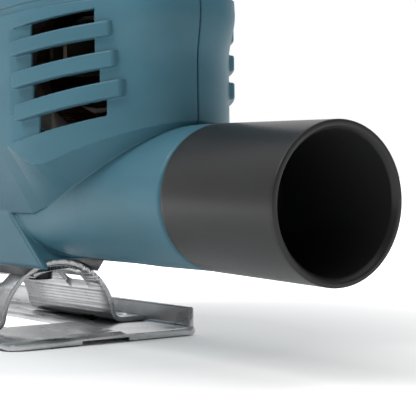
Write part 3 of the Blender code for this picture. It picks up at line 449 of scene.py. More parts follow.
def field_mesh(name, field, xs, ys, zs):
    """A smooth mesh of a distance field, with its normals taken from the field."""
    points, quads = surface_net(field, xs, ys, zs)
    for _ in range(2):
        values, slope = slope_at(field, points, 0.03)
        size = np.maximum((slope ** 2).sum(axis=1), 0.1)
        move = -(values / size)[:, None] * slope
        reach = np.linalg.norm(move, axis=1, keepdims=True)
        points = points + move * np.minimum(1.0, 0.25 / np.maximum(reach, 1e-9))
    mesh = bpy.data.meshes.new(name)
    mesh.from_pydata((points * MM).tolist(), [], quads.tolist())
    obj = bpy.data.objects.new(name, mesh)
    bpy.context.scene.collection.objects.link(obj)
    thin = obj.modifiers.new("Decimate", "DECIMATE")
    thin.ratio = KEPT_FACES
    apply_modifiers(obj)
    shade_from_field(obj, field)
    return obj


def shade_from_field(obj, field):
    """Smooth shading with the field's slope as the surface direction."""
    mesh = obj.data
    count = len(mesh.vertices)
    flat = np.zeros(count * 3, np.float32)
    mesh.vertices.foreach_get("co", flat)
    _, normals = slope_at(field, flat.reshape(-1, 3).astype(float) / MM, 0.12)
    normals /= np.maximum(np.linalg.norm(normals, axis=1, keepdims=True), 1e-9)
    mesh.shade_smooth()
    mesh.normals_split_custom_set_from_vertices(normals.tolist())


def mirror_across(obj):
    """Turn a left piece into a right one."""
    obj.data.transform(Matrix.Scale(-1, 4, Vector((0, 1, 0))))
    obj.data.flip_normals()


def make_housing():
    """Both clamshell halves; the right one is made as a left one and mirrored."""
    xs = spaced([(-89.0, FINE), (2.0, COARSE), (109.5, 1.0)])
    ys = spaced([(-0.6, 0.5), (35.2, 1.0)])
    zs = spaced([(23.5, FINE), (112.0, COARSE), (196.5, 1.0)])
    for name, left in (("housing_left", True), ("housing_right", False)):
        obj = field_mesh(name + "_skin", lambda x, y, z: housing(x, y, z, left), xs, ys, zs)
        if not left:
            mirror_across(obj)
            shade_from_field(obj, lambda x, y, z: housing(x, -y, z, False))
        adopt(obj, name)


# ---------------------------------------------------------------- materials

class Nodes:
    """A small helper that adds nodes to a material and links them."""

    def __init__(self, name, color, roughness, metallic=0.0):
        self.material = bpy.data.materials.new(name)
        self.material.use_nodes = True
        self.tree = self.material.node_tree
        self.shader = self.tree.nodes["Principled BSDF"]
        self.shader.inputs["Base Color"].default_value = (*color, 1.0)
        self.shader.inputs["Roughness"].default_value = roughness
        self.shader.inputs["Metallic"].default_value = metallic
        self.color = color
        self.roughness = roughness
        self.place = self.add("ShaderNodeTexCoord").outputs["Object"]

    def add(self, kind, **values):
        """A new node, with its inputs or its settings given by name."""
        node = self.tree.nodes.new(kind)
        for name, value in values.items():
            if name in node.inputs:
                node.inputs[name].default_value = value
            else:
                setattr(node, name, value)
        return node

    def link(self, source, target):
        self.tree.links.new(source, target)

    def stretched(self, scale):
        """The piece's own coordinates, scaled by a factor for each axis."""
        mapping = self.add("ShaderNodeMapping")
        mapping.inputs["Scale"].default_value = scale
        self.link(self.place, mapping.inputs["Vector"])
        return mapping.outputs["Vector"]

    def noise(self, scale, detail=2.0, stretch=None):
        """Noise whose grains are about 1/scale millimetres apart."""
        node = self.add("ShaderNodeTexNoise")
        node.inputs["Scale"].default_value = scale / MM
        node.inputs["Detail"].default_value = detail
        self.link(self.stretched(stretch) if stretch else self.place, node.inputs["Vector"])
        return node.outputs["Fac"]

    def spread(self, source, low, high):
        """A value that goes from low to high over the middle of the source's range."""
        node = self.add("ShaderNodeMapRange")
        node.inputs["From Min"].default_value = 0.3
        node.inputs["From Max"].default_value = 0.7
        node.inputs["To Min"].default_value = low
        node.inputs["To Max"].default_value = high
        self.link(source, node.inputs["Value"])
        return node.outputs["Result"]

    def shade(self, source, dark, light):
        """Base colour between two brightnesses of the material's colour."""
        ramp = self.add("ShaderNodeValToRGB")
        for element, factor, at in zip(ramp.color_ramp.elements, (dark, light), (0.32, 0.68)):
            element.position = at
            element.color = (*[min(1.0, c * factor) for c in self.color], 1.0)
        self.link(source, ramp.inputs["Fac"])
        self.link(ramp.outputs["Color"], self.shader.inputs["Base Color"])
        return ramp

    def rough(self, source, amount):
        """Roughness that varies by the amount either way."""
        value = self.spread(source, self.roughness - amount, self.roughness + amount)
        self.link(value, self.shader.inputs["Roughness"])

    def bump(self, source, height, before=None):
        """Relief of the given height in millimetres, on top of an earlier one."""
        node = self.add("ShaderNodeBump")
        node.inputs["Strength"].default_value = 1.0
        node.inputs["Distance"].default_value = height * MM
        self.link(source, node.inputs["Height"])
        if before:
            self.link(before, node.inputs["Normal"])
        self.link(node.outputs["Normal"], self.shader.inputs["Normal"])
        return node.outputs["Normal"]


def moulded(name, color, roughness, grain, depth):
    """Moulded plastic with spark-eroded grain and faint flow marks."""
    n = Nodes(name, color, roughness)
    n.shader.inputs["Specular IOR Level"].default_value = 0.22
    fine = n.noise(grain, 3.0)
    flow = n.noise(0.035, 2.0, (1.0, 1.0, 2.2))
    n.shade(flow, 0.94, 1.07)
    n.rough(fine, 0.05)
    n.bump(fine, depth)
    return n.material


def rubber():
    """Matt black rubber with a dusty grain."""
    n = Nodes("black_rubber_fine", (0.018, 0.018, 0.019), 0.72)
    fine = n.noise(3.0, 4.0)
    n.shade(n.noise(0.2), 0.85, 1.2)
    n.rough(fine, 0.08)
    n.bump(fine, 0.012)
    return n.material


def clear():
    """Clear plastic with faint smears and waves."""
    n = Nodes("clear_plastic_fine", (0.86, 0.9, 0.92), 0.07)
    n.shader.inputs["Transmission Weight"].default_value = 0.92
    n.shader.inputs["IOR"].default_value = 1.49
    smear = n.noise(0.08, 3.0, (1.0, 1.0, 0.4))
    n.rough(smear, 0.04)
    n.bump(n.noise(0.05), 0.02)
    return n.material


def sheet_steel():
    """Zinc-plated sheet: rolled streaks, cloudy plating and a few scuffs."""
    n = Nodes("zinc_steel_fine", (0.56, 0.57, 0.58), 0.3, 1.0)
    cloud = n.noise(0.06, 6.0, (1.0, 1.4, 1.4))
    streak = n.noise(1.4, 4.0, (0.05, 1.0, 1.0))
    n.shade(cloud, 0.72, 1.12)
    n.rough(cloud, 0.12)
    first = n.bump(streak, 0.007)
    n.bump(n.noise(0.14, 3.0), 0.03, first)
    return n.material


def machined(name, color, roughness, stretch, height):
    """Turned or ground metal with fine tool marks along one direction."""
    n = Nodes(name, color, roughness, 1.0)
    marks = n.noise(2.5, 3.0, stretch)
    n.shade(n.noise(0.1, 3.0), 0.85, 1.1)
    n.rough(marks, 0.08)
    n.bump(marks, height)
    return n.material


def cast():
    """Die-cast aluminium with a sandy skin."""
    n = Nodes("cast_aluminium_fine", (0.24, 0.245, 0.25), 0.52, 1.0)
    skin_noise = n.noise(0.9, 5.0)
    n.shade(n.noise(0.06, 4.0), 0.7, 1.15)
    n.rough(skin_noise, 0.1)
    n.bump(skin_noise, 0.06)
    return n.material


def stacked_sheets():
    """Edges of the core's thin sheets, stacked along the motor."""
    n = Nodes("lamination_fine", (0.3, 0.28, 0.26), 0.42, 1.0)
    wave = n.add("ShaderNodeTexWave", Scale=0.32 / MM, Distortion=0.4)
    wave.bands_direction = "X"
    n.link(n.place, wave.inputs["Vector"])
    n.shade(n.noise(0.15, 4.0), 0.65, 1.2)
    n.bump(wave.outputs["Fac"], 0.08)
    return n.material


def winding():
    """Varnished copper wire, wound in rows."""
    n = Nodes("copper_fine", (0.1, 0.045, 0.025), 0.42, 1.0)
    wave = n.add("ShaderNodeTexWave", Scale=0.45 / MM, Distortion=1.5)
    wave.bands_direction = "Z"
    n.link(n.place, wave.inputs["Vector"])
    n.shade(n.noise(0.3, 3.0), 0.7, 1.15)
    n.bump(wave.outputs["Fac"], 0.25)
    return n.material


def board():
    """Green circuit board with a mottled lacquer."""
    n = Nodes("circuit_board_fine", (0.02, 0.09, 0.035), 0.4)
    n.shade(n.noise(0.5, 2.0), 0.7, 1.3)
    n.bump(n.noise(0.8, 2.0), 0.02)
    return n.material


def make_materials():
    """One material for each slot of the record, and one dark steel that paints shade on the clamp screw.
    """
    return {
        "teal_plastic": moulded("teal_plastic_fine", (0.044, 0.125, 0.166), 0.44, 1.9, 0.03),
        "black_plastic": moulded("black_plastic_fine", (0.019, 0.0192, 0.0196), 0.34, 2.4, 0.008),
        "black_rubber": rubber(),
        "clear_plastic": clear(),
        "zinc_steel": sheet_steel(),
        "bright_steel": machined("bright_steel_fine", (0.6, 0.6, 0.6), 0.26, (1.0, 1.0, 0.08), 0.005),
        # dark steel for the clamp bolt: painted shade, standing for the shadow inside the arch in place of
        # the bolt's bright steel
        "shade_dark_steel": machined("shade_dark_steel_fine", (0.05, 0.05, 0.052), 0.38, (1.0, 1.0, 0.3), 0.004),
        "cast_aluminium": cast(),
        "lamination": stacked_sheets(),
        "copper": winding(),
        "brass": machined("brass_fine", (0.09, 0.075, 0.05), 0.45, (0.1, 1.0, 1.0), 0.006),
        "carbon": moulded("carbon_fine", (0.02, 0.02, 0.021), 0.6, 1.5, 0.02),
        "fan_plastic": moulded("fan_plastic_fine", (0.02, 0.02, 0.022), 0.45, 1.2, 0.01),
        "circuit_board": board(),
    }


# ---------------------------------------------------------------- CAD nodes with finer edges

def slot_of(node):
    """Name of the node's material slot in the record."""
    for part in frame["record"]["subparts"]:
        if part["node"] == node:
            return part["material_slot"]
    raise ValueError(node)


def body_with(node):
    """Name of the moving body that holds the node."""
    for body, members in frame["record"]["behaviour"]["bodies"].items():
        if node in members:
            return body
    raise ValueError(node)


def adopt(obj, node, material=None):
    """A finished piece takes a CAD node's place, body and finish, unless another material is given."""
    obj.data.materials.clear()
    obj.data.materials.append(material or MATERIALS[slot_of(node)])
    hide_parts(node)
    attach(obj, body_with(node))


def copy_of(node):
    """The CAD node's mesh as a new piece, with its flat faces whole again."""
    mesh = frame["nodes"][node].data.copy()
    bm = bmesh.new()
    bm.from_mesh(mesh)
    bmesh.ops.remove_doubles(bm, verts=bm.verts, dist=0.004 * MM)
    bmesh.ops.dissolve_limit(bm, angle_limit=math.radians(0.6), verts=bm.verts, edges=bm.edges)
    bm.to_mesh(mesh)
    bm.free()
    obj = bpy.data.objects.new(node + "_fine", mesh)
    bpy.context.scene.collection.objects.link(obj)
    return obj


def soften(obj, width, segments=2, angle=32.0):
    """Round the sharp edges and shade the rest smoothly."""
    bevel = obj.modifiers.new("Bevel", "BEVEL")
    bevel.width = width * MM
    bevel.segments = segments
    bevel.limit_method = "ANGLE"
    bevel.angle_limit = math.radians(angle)
    bevel.harden_normals = True
    apply_modifiers(obj)
    obj.data.shade_smooth()
    obj.data.set_sharp_from_angle(angle=math.radians(angle + 8.0))
    return obj


EDGES = {                      # edge rounding of the pieces that keep their CAD shape
    "gear_housing": 0.7,
    "gear_cover": 0.4,
    "plunger_rod": 0.3,
    "yoke": 0.3,
    "blade_holder": 0.3,
    "blade_screw": 0.2,
    "plunger_bush_lower": 0.2,
    "plunger_bush_upper": 0.2,
    "roller_arm": 0.25,
    "roller": 0.2,
    "roller_axle": 0.15,
    "action_lever": 0.4,
    "chip_shield": 0.35,
    "field_core": 0.2,
    "drive_gear": 0.15,
    "trigger": 0.3,
}


def refine_nodes():
    """Round the edges of the small parts."""
    for node, width in EDGES.items():
        adopt(soften(copy_of(node), width), node)


def paint_rest():
    """Every CAD node gets the fine material of its slot."""
    for node, obj in frame["nodes"].items():
        obj.data.materials.clear()
        obj.data.materials.append(MATERIALS[slot_of(node)])


# ---------------------------------------------------------------- turned pieces

def lathe(name, profile, steps, start, direction):
    """Turn a closed profile of (radius, distance) points about an axis through start."""
    bm = bmesh.new()
    rings = []
    for step in range(steps):
        a = math.tau * step / steps
        rings.append([bm.verts.new((r * math.cos(a), r * math.sin(a), h)) for r, h in profile])
    count = len(profile)
    for step in range(steps):
        here, after = rings[step], rings[(step + 1) % steps]
        for i in range(count):
            j = (i + 1) % count
            bm.faces.new((here[i], here[j], after[j], after[i]))
    bmesh.ops.remove_doubles(bm, verts=bm.verts, dist=0.0005)
    bmesh.ops.recalc_face_normals(bm, faces=bm.faces)
    turn = Vector((0, 0, 1)).rotation_difference(Vector(direction)).to_matrix().to_4x4()
    bm.transform(Matrix.Scale(MM, 4) @ Matrix.Translation(Vector(start)) @ turn)
    mesh = bpy.data.meshes.new(name)
    bm.to_mesh(mesh)
    bm.free()
    obj = bpy.data.objects.new(name, mesh)
    bpy.context.scene.collection.objects.link(obj)
    mesh.shade_smooth()
    mesh.set_sharp_from_angle(angle=math.radians(50))
    return obj


def rounded(points, radius, count=4):
    """A closed outline with its corners rounded, each by at most the given radius."""
    result = []
    total = len(points)
    for i, point in enumerate(points):
        here = Vector(point)
        before = Vector(points[i - 1]) - here
        after = Vector(points[(i + 1) % total]) - here
        reach = min(radius, before.length * 0.45, after.length * 0.45)
        a, b = here + before.normalized() * reach, here + after.normalized() * reach
        for k in range(count + 1):
            t = k / count
            result.append(tuple(a * (1 - t) ** 2 + here * 2 * t * (1 - t) + b * t ** 2))
    return result


def make_nozzle():
    """Dust nozzle: a slightly flared tube with a spigot that plugs into the duct."""
    start = Vector((DUCT_REAR - 0.3, 0, DUCT_Z))
    along = Vector((-math.cos(NOZZLE_PITCH), 0, -math.sin(NOZZLE_PITCH)))
    end = NOZZLE_LENGTH
    outline = [
        (DUCT_R, 0.0), (DUCT_R + 0.06, 1.6), (NOZZLE_END_R - 0.05, end - 2.6), (NOZZLE_END_R, end),
        (NOZZLE_BORE_R + 1.1, end), (NOZZLE_BORE_R, end - 1.5), (NOZZLE_BORE_R - 0.3, 4.0),
        (SPIGOT_BORE_R, 0.0), (SPIGOT_BORE_R, -SPIGOT_LENGTH), (SPIGOT_R, -SPIGOT_LENGTH), (SPIGOT_R, 0.0),
    ]
    tube = lathe("dust_nozzle_fine", rounded(outline, 0.45, 3), 160, start, along)
    adopt(tube, "dust_nozzle")


def make_screws():
    """Round the edges of the housing screws."""
    for number in range(1, len(SCREWS) + 1):
        node = "housing_screw_%d" % number
        adopt(soften(copy_of(node), 0.25, 3), node)


def make_gland():
    """Rubber sleeve with flex ribs where the mains lead leaves the handle."""
    outline = [(3.6, 0.0), (4.7, 0.0)]
    for i in range(6):
        at = 3.0 + 4.0 * i
        rib = 5.0 + 0.12 * i
        neck = 4.4 + 0.1 * i
        outline += [(rib, at), (rib, at + 2.2), (neck, at + 2.4), (neck + 0.1, at + 3.8)]
    outline += [(5.9, 27.2), (5.9, 38.0), (8.0, 38.3), (8.0, 42.0), (3.6, 42.0)]
    sleeve = lathe("cord_gland_fine", rounded(outline, 0.5, 3), 64, (GLAND_REAR, 0, GLAND_Z), (1, 0, 0))
    adopt(sleeve, "cord_gland")


# ---------------------------------------------------------------- small outer pieces

def make_lock_button():
    """A cupped button on a flanged stem."""
    outline = [
        (LOCK_R, -3.8), (6.6, -4.2), (6.6, -7.0), (2.0, -7.0),
        (2.0, -3.0), (3.6, 0.5), (4.4, 1.4), (LOCK_R, 0.8),
    ]
    button = lathe("lock_button_fine", rounded(outline, 0.5, 4), 96, (LOCK_X, LOCK_Y, LOCK_Z), (0, 1, 0))
    adopt(button, "lock_button")


def make_speed_dial():
    """Thumb wheel with a toothed rim."""
    count = DIAL_TEETH * 4
    rim = [DIAL_R if i % 4 in (1, 2) else DIAL_R - 0.55 for i in range(count)]
    bm = bmesh.new()
    loops = []
    for y, radii in ((-DIAL_HALF, rim), (DIAL_HALF, rim), (DIAL_HALF, [DIAL_BORE_R] * count),
                     (-DIAL_HALF, [DIAL_BORE_R] * count)):
        angles = [math.tau * i / count for i in range(count)]
        loops.append([bm.verts.new((DIAL_X + r * math.cos(a), y, DIAL_Z + r * math.sin(a)))
                      for r, a in zip(radii, angles)])
    for first, second in zip(loops, loops[1:] + loops[:1]):
        for i in range(count):
            j = (i + 1) % count
            bm.faces.new((first[i], first[j], second[j], second[i]))
    adopt(soften(finished("speed_dial_fine", bm), 0.18, 2, 50.0), "speed_dial")


def finished(name, bm):
    """A bmesh in millimetres as an object in metres."""
    bmesh.ops.recalc_face_normals(bm, faces=bm.faces)
    bm.transform(Matrix.Scale(MM, 4))
    mesh = bpy.data.meshes.new(name)
    bm.to_mesh(mesh)
    bm.free()
    obj = bpy.data.objects.new(name, mesh)
    bpy.context.scene.collection.objects.link(obj)
    return obj


def make_guard():
    """Bent wire in front of the blade."""
    path = [(97.0, 41.5), (97.0, 30.0), (97.0, 22.0)]
    path += arc(100.0, 20.0, 3.0, 180, 250, 8)
    path += [(99.5, 15.0), (98.0, 10.0)]
    bm = bmesh.new()
    rings = []
    for i, (x, z) in enumerate(path):
        before, after = path[max(i - 1, 0)], path[min(i + 1, len(path) - 1)]
        slope = Vector((after[0] - before[0], 0, after[1] - before[1])).normalized()
        across = Vector((0, 1, 0)).cross(slope)
        ring = []
        for k in range(GUARD_SIDES):
            a = math.tau * k / GUARD_SIDES
            offset = across * math.cos(a) + Vector((0, math.sin(a), 0))
            ring.append(bm.verts.new(Vector((x, 0, z)) + GUARD_R * offset))
        rings.append(ring)
    for first, second in zip(rings, rings[1:]):
        for k in range(GUARD_SIDES):
            j = (k + 1) % GUARD_SIDES
            bm.faces.new((first[k], first[j], second[j], second[k]))
    bm.faces.new(rings[0])
    bm.faces.new(rings[-1])
    adopt(soften(finished("finger_guard_fine", bm), 0.35, 3, 50.0), "finger_guard")


# ---------------------------------------------------------------- pressed steel

def upright(u, v, w):
    """An outline in plan, pushed upwards."""
    return u, v, w


def lengthways(u, v, w):
    """An outline across the tool, pushed along it."""
    return w, u, v


def sideways(u, v, w):
    """A side outline, pushed across the tool."""
    return u, w, v


def extruded(name, loop, place, low, high):
    """A closed outline pushed from low to high; place turns (u, v, w) into x, y, z."""
    bm = bmesh.new()
    ends = [[bm.verts.new(place(u, v, w)) for u, v in loop] for w in (low, high)]
    for i in range(len(loop)):
        j = (i + 1) % len(loop)
        bm.faces.new((ends[0][i], ends[0][j], ends[1][j], ends[1][i]))
    bm.faces.new(ends[0])
    bm.faces.new(ends[1])
    caps = [f for f in bm.faces if len(f.verts) > 4]
    bmesh.ops.triangulate(bm, faces=caps)
    return finished(name, bm)


def combine(obj, tool, operation):
    """Cut a closed tool out of a piece, add it, or keep only what lies in both."""
    boolean = obj.modifiers.new("Boolean", "BOOLEAN")
    boolean.operation = operation
    boolean.solver = "MANIFOLD"
    boolean.object = tool
    apply_modifiers(obj)
    bpy.data.objects.remove(tool, do_unlink=True)


def tidy_faces(obj):
    """Merge the boolean's slivers, so that edges can be rounded."""
    bm = bmesh.new()
    bm.from_mesh(obj.data)
    bmesh.ops.remove_doubles(bm, verts=bm.verts, dist=0.01 * MM)
    bmesh.ops.dissolve_limit(bm, angle_limit=math.radians(0.4), verts=bm.verts, edges=bm.edges)
    bm.to_mesh(obj.data)
    bm.free()


def slab(name, low, high):
    """A box from its low corner to its high one."""
    loop = [(low[0], low[1]), (high[0], low[1]), (high[0], high[1]), (low[0], high[1])]
    return extruded(name, loop, upright, low[2], high[2])


def pan_profile():
    """The shoe's cross-section: a floor with a flange turned up at each side."""
    bend, edge, fillet = 2.6, 1.0, 1.2
    right = arc(SHOE_HALF - bend, bend, bend, 270, 360, 6)
    right += arc(SHOE_HALF - edge, FLANGE_TOP - edge, edge, 0, 180, 8)
    right += arc(SHOE_HALF - 2 * edge - fillet, SHOE_T + fillet, fillet, 0, -90, 5)
    return right + [(-y, z) for y, z in reversed(right)]


def shoe_plan():
    """Plan outline of the shoe with its corners, its blade slot and the sight gap at the front."""
    left, right = SHOE_CORNERS
    wide, gap, front = SLOT_HALF, SIGHT_GAP_HALF, SHOE_FRONT - FRONT_CORNER
    slot = [(SHOE_FRONT, -gap), (SLOT_FRONT, -gap), (SLOT_FRONT - 8.0, -wide), (SLOT_REAR, -wide)]
    slot += [(SLOT_REAR, wide), (SLOT_FRONT - 8.0, wide), (SLOT_FRONT, gap), (SHOE_FRONT, gap)]
    outline = arc(SHOE_REAR + left, SHOE_HALF - left, left, 90, 180, 12)
    outline += arc(SHOE_REAR + right, right - SHOE_HALF, right, 180, 270, 8)
    outline += arc(front, FRONT_CORNER - SHOE_HALF, FRONT_CORNER, 270, 360, 16)
    outline += slot
    return outline + arc(front, SHOE_HALF - FRONT_CORNER, FRONT_CORNER, 0, 90, 16)


def drop_flanges(pan):
    """End the flanges where the shoe's corners begin."""
    for side, corner in zip((1, -1), SHOE_CORNERS):
        low, high = sorted((side * (SHOE_HALF - 3.2), side * (SHOE_HALF + 1.0)))
        ends = ((SHOE_FRONT - FRONT_CORNER, SHOE_FRONT + 1.0), (SHOE_REAR - 1.0, SHOE_REAR + corner))
        for start, end in ends:
            combine(pan, slab("drop", (start, low, SHOE_T), (end, high, 12.0)), "DIFFERENCE")


def raise_pad(pan):
    """The pressed-up pad at the middle of the rear edge, hollow underneath."""
    front = SHOE_REAR + PAD_LENGTH
    top = SHOE_T + PAD_RISE
    ramp = [
        (SHOE_REAR, PAD_HOLLOW + 0.05), (front, PAD_HOLLOW + 0.05), (front, SHOE_T - 0.05),
        (SHOE_REAR + 2.0, top), (SHOE_REAR, top),
    ]
    pad = extruded("pad", ramp, sideways, -PAD_HALF, PAD_HALF)
    for vertex in pad.data.vertices:
        if vertex.co.z > SHOE_T * MM:
            vertex.co.y *= 0.55
    combine(pan, pad, "UNION")
    low = (SHOE_REAR - 2.0, 1.0 - PAD_HALF, -1.0)
    combine(pan, slab("hollow", low, (front - 2.0, PAD_HALF - 1.0, PAD_HOLLOW)), "DIFFERENCE")


def make_shoe():
    """Pressed steel shoe plate."""
    pan = extruded("shoe_plate_fine", pan_profile(), lengthways, SHOE_REAR - 1.0, SHOE_FRONT + 1.0)
    combine(pan, extruded("shoe_plan", shoe_plan(), upright, -1.0, 20.0), "INTERSECT")
    drop_flanges(pan)
    raise_pad(pan)
    tidy_faces(pan)
    adopt(soften(pan, 0.32, 3, 34.0), "shoe_plate")


def arch_lines():
    """Outer and inner line of the arch with its outward feet, point by point."""
    low = FOOT_Z
    high = low + ARCH_T
    bend = 3.0
    start = math.degrees(math.asin((high + bend - ARCH_Z) / (ARCH_R + bend)))
    cy = (ARCH_R + bend) * math.cos(math.radians(start))
    mid = (low + high) / 2
    tip = FOOT_END - ARCH_T / 2
    outer = [(tip + y, mid + z) for y, z in arc(0, 0, ARCH_T / 2, 10, 90, 6)]
    inner = [(tip + y, mid + z) for y, z in arc(0, 0, ARCH_T / 2, -10, -90, 6)]
    outer += arc(cy, high + bend, bend, 270, 180 + start, 12)
    inner += arc(cy, high + bend, bend + ARCH_T, 270, 180 + start, 12)
    outer += arc(0, ARCH_Z, ARCH_R, start, 90, 49)[1:]
    inner += arc(0, ARCH_Z, ARCH_R - ARCH_T, start, 90, 49)[1:]
    outer += [(-y, z) for y, z in reversed(outer[:-1])]
    inner += [(-y, z) for y, z in reversed(inner[:-1])]
    return outer, inner


def strip(name, outer, inner, low, high):
    """A bent sheet between two lines across the tool, from low to high along it."""
    bm = bmesh.new()
    rows = []
    for x in (low, high):
        rows.append([[bm.verts.new((x, y, z)) for y, z in line] for line in (outer, inner)])
    (outer_a, inner_a), (outer_b, inner_b) = rows
    for i in range(len(outer) - 1):
        j = i + 1
        bm.faces.new((outer_a[i], outer_a[j], inner_a[j], inner_a[i]))
        bm.faces.new((outer_b[i], outer_b[j], inner_b[j], inner_b[i]))
        bm.faces.new((outer_a[i], outer_a[j], outer_b[j], outer_b[i]))
        bm.faces.new((inner_a[i], inner_a[j], inner_b[j], inner_b[i]))
    for i in (0, -1):
        bm.faces.new((outer_a[i], inner_a[i], inner_b[i], outer_b[i]))
    return finished(name, bm)


def oblong(x_low, x_high, half, radius):
    """Plan outline of a hole with rounded corners."""
    return rounded([(x_low, -half), (x_high, -half), (x_high, half), (x_low, half)], radius, 6)


def make_arch():
    """Arched steel strip that carries the shoe, with the bolt's slot and the blade's notch."""
    arch = strip("shoe_arch_fine", *arch_lines(), ARCH_REAR, ARCH_FRONT)
    notch = oblong(53.0, 90.0, ARCH_R * math.sin(NOTCH_REACH), 5.0)
    slot = oblong(20.0, 36.0, ARCH_R * math.sin(TILT_SLOT), 2.5)
    floor = ARCH_Z + ARCH_R * math.cos(NOTCH_REACH) - 1.03
    combine(arch, extruded("notch", notch, upright, floor, 30.0), "DIFFERENCE")
    combine(arch, extruded("slot", slot, upright, 12.0, 30.0), "DIFFERENCE")
    bump = [(0.01, -1.2), (2.2, -1.2), (2.2, 0.0), (1.9, 0.35), (1.2, 0.5), (0.01, 0.52)]
    for side in (1, -1):
        for x in WELD_X:
            weld = lathe("weld", bump, 32, (x, side * WELD_Y, FOOT_Z + ARCH_T), (0, 0, 1))
            combine(arch, weld, "UNION")
    adopt(soften(arch, 0.25, 3, 34.0), "shoe_arch")


def make_clamp():
    """Tongue under the arch that the bolt pulls up."""
    outer = ARCH_R - ARCH_T - 0.3
    loop = arc(0, ARCH_Z, outer, 62, 118, 40) + arc(0, ARCH_Z, outer - CLAMP_T, 118, 62, 40)
    clamp = extruded("clamp_plate_fine", loop, lengthways, ARCH_REAR + 1.0, CLAMP_FRONT)
    combine(clamp, extruded("clamp_slot", oblong(20.7, 36.4, 3.1, 3.0), upright, 15.0, 30.0), "DIFFERENCE")
    tidy_faces(clamp)
    adopt(soften(clamp, 0.3, 3, 34.0), "clamp_plate")


def make_bolt():
    """Low socket screw with its head inside the arch, made dark as painted shade."""
    top = ARCH_Z + (ARCH_R - ARCH_T) * math.cos(math.radians(26)) - 0.4
    low = top - BOLT_HEAD
    outline = [
        (0.0, low + 2.2), (SOCKET_R, low + 2.2), (SOCKET_R, low), (4.2, low),
        (4.5, top), (BOLT_R, top), (BOLT_R, BOLT_TOP), (0.0, BOLT_TOP),
    ]
    screw = lathe("clamp_bolt_fine", rounded(outline, 0.35, 3), 48, (BOLT_X, 0, 0), (0, 0, 1))
    # dark steel instead of the slot's bright steel: painted shade for the shadow inside the arch
    adopt(screw, "clamp_bolt", MATERIALS["shade_dark_steel"])


# ---------------------------------------------------------------- studio

BRIGHT_SIDE = (0.819, -0.573, 0.0)             # the studio is bright beyond the tool and dark behind us
FLOOR_DROP = 0.0004            # the floor lies this far under the shoe, in metres
FLOOR_DARK = 0.08              # the floor's glow grows between these distances from the tool
FLOOR_LIT = 0.36
PATCH_AT = (0.058, -0.004, 0.0)                # painted light: a glowing patch on the floor under the blade slot, which lifts the tool's shadow there
PATCH_SHAPE = (1.0, 2.6, 0.0)
PATCH_EDGE = 0.052
PATCH_CORE = 0.038
CAMERA_AT = (-0.4108, 0.2309, 0.0561)
CAMERA_RIGHT = (-0.57367, -0.81900, -0.01227)
CAMERA_UP = (0.01474, -0.02529, 0.99958)
CAMERA_FORWARD = (0.81896, -0.57325, -0.02658)
LENS = 118.54
SENSOR = 36.0


def vector_step(n, operation, source, value=None):
    """A vector node fed by source, with a constant second input where one is given."""
    node = n.add("ShaderNodeVectorMath", operation=operation)
    n.link(source, node.inputs[0])
    if value:
        node.inputs[1].default_value = value
    return node


def ramp_between(tree, source, start, end, low=0.0, high=1.0):
    """A value that goes from low to high as the source goes from start to end."""
    node = tree.nodes.new("ShaderNodeMapRange")
    node.inputs["From Min"].default_value = start
    node.inputs["From Max"].default_value = end
    node.inputs["To Min"].default_value = low
    node.inputs["To Max"].default_value = high
    tree.links.new(source, node.inputs["Value"])
    return node


def floor_glow(n):
    """Glow of the pale floor: none at the tool, full far away, and painted light under the blade slot that
    lifts the shadow there.
    """
    far = vector_step(n, "LENGTH", n.place)
    ring = ramp_between(n.tree, far.outputs["Value"], FLOOR_DARK, FLOOR_LIT)
    shift = vector_step(n, "SUBTRACT", n.place, PATCH_AT)
    squash = vector_step(n, "MULTIPLY", shift.outputs["Vector"], PATCH_SHAPE)
    near = vector_step(n, "LENGTH", squash.outputs["Vector"])
    patch = ramp_between(n.tree, near.outputs["Value"], PATCH_EDGE, PATCH_CORE)
    both = n.add("ShaderNodeMath", operation="MAXIMUM")
    n.link(ring.outputs["Result"], both.inputs[0])
    n.link(patch.outputs["Result"], both.inputs[1])
    return both.outputs["Value"]


def make_floor():
    """Pale matt floor that glows, with a patch of painted light under the blade slot."""
    bpy.ops.mesh.primitive_plane_add(size=12.0, location=(0, 0, -FLOOR_DROP))
    floor = bpy.context.object
    floor.name = "floor"
    n = Nodes("floor_paint", (0.96, 0.96, 0.96), 0.95)
    n.shade(n.noise(0.002, 2.0), 0.99, 1.01)
    n.shader.inputs["Emission Color"].default_value = (1.0, 1.0, 1.0, 1.0)
    n.link(floor_glow(n), n.shader.inputs["Emission Strength"])
    floor.data.materials.append(n.material)


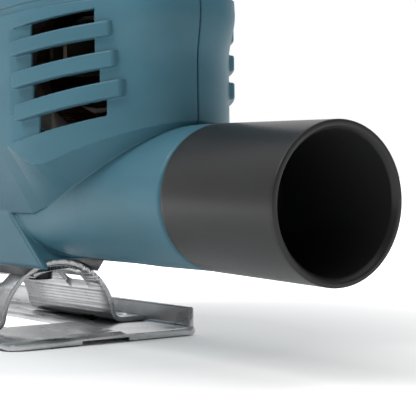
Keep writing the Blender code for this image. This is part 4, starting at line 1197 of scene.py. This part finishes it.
def make_world():
    """White surroundings, bright on one side and dim on the other."""
    world = bpy.data.worlds.new("studio")
    bpy.context.scene.world = world
    world.use_nodes = True
    tree = world.node_tree
    background = tree.nodes["Background"]
    background.inputs["Color"].default_value = (1.0, 1.0, 1.0, 1.0)
    place = tree.nodes.new("ShaderNodeTexCoord")
    toward = tree.nodes.new("ShaderNodeVectorMath")
    toward.operation = "DOT_PRODUCT"
    toward.inputs[1].default_value = BRIGHT_SIDE
    tree.links.new(place.outputs["Generated"], toward.inputs[0])
    spread = ramp_between(tree, toward.outputs["Value"], -0.3, 0.9, 0.15, 1.0)
    spread.interpolation_type = "SMOOTHSTEP"
    tree.links.new(spread.outputs["Result"], background.inputs["Strength"])


def area_light(name, location, target, side, power):
    """Square soft lamp that points at the target."""
    data = bpy.data.lights.new(name, "AREA")
    data.size = side
    data.energy = power
    lamp = bpy.data.objects.new(name, data)
    lamp.location = location
    lamp.rotation_euler = (Vector(target) - Vector(location)).to_track_quat("-Z", "Y").to_euler()
    bpy.context.scene.collection.objects.link(lamp)


def make_camera():
    """Camera behind and left of the tool, level with its duct."""
    data = bpy.data.cameras.new("camera")
    data.lens = LENS
    data.sensor_width = SENSOR
    camera = bpy.data.objects.new("camera", data)
    turn = Matrix((CAMERA_RIGHT, CAMERA_UP, -Vector(CAMERA_FORWARD))).transposed().to_4x4()
    camera.matrix_world = Matrix.Translation(CAMERA_AT) @ turn
    bpy.context.scene.collection.objects.link(camera)
    bpy.context.scene.camera = camera


def make_lights():
    """A high key lamp on the left and a wide soft one overhead."""
    area_light("key", (0.2, 0.75, 0.9), (0.0, 0.0, 0.08), 0.5, 9.0)
    area_light("top", (-0.1, -0.1, 1.4), (0.0, 0.0, 0.0), 1.6, 9.5)


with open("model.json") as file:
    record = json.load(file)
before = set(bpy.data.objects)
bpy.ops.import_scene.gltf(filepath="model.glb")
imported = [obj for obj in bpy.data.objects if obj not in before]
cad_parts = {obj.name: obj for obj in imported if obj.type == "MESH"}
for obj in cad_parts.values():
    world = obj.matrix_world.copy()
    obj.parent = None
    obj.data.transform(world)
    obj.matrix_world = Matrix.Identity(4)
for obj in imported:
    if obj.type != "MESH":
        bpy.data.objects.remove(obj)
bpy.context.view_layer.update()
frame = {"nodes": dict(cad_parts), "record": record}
bpy.context.scene.view_settings.view_transform = "Standard"
MATERIALS = make_materials()
make_camera()
make_floor()
make_world()
make_lights()
paint_rest()
make_housing()
make_nozzle()
make_screws()
make_gland()
make_lock_button()
make_speed_dial()
make_guard()
make_shoe()
make_arch()
make_clamp()
make_bolt()
refine_nodes()
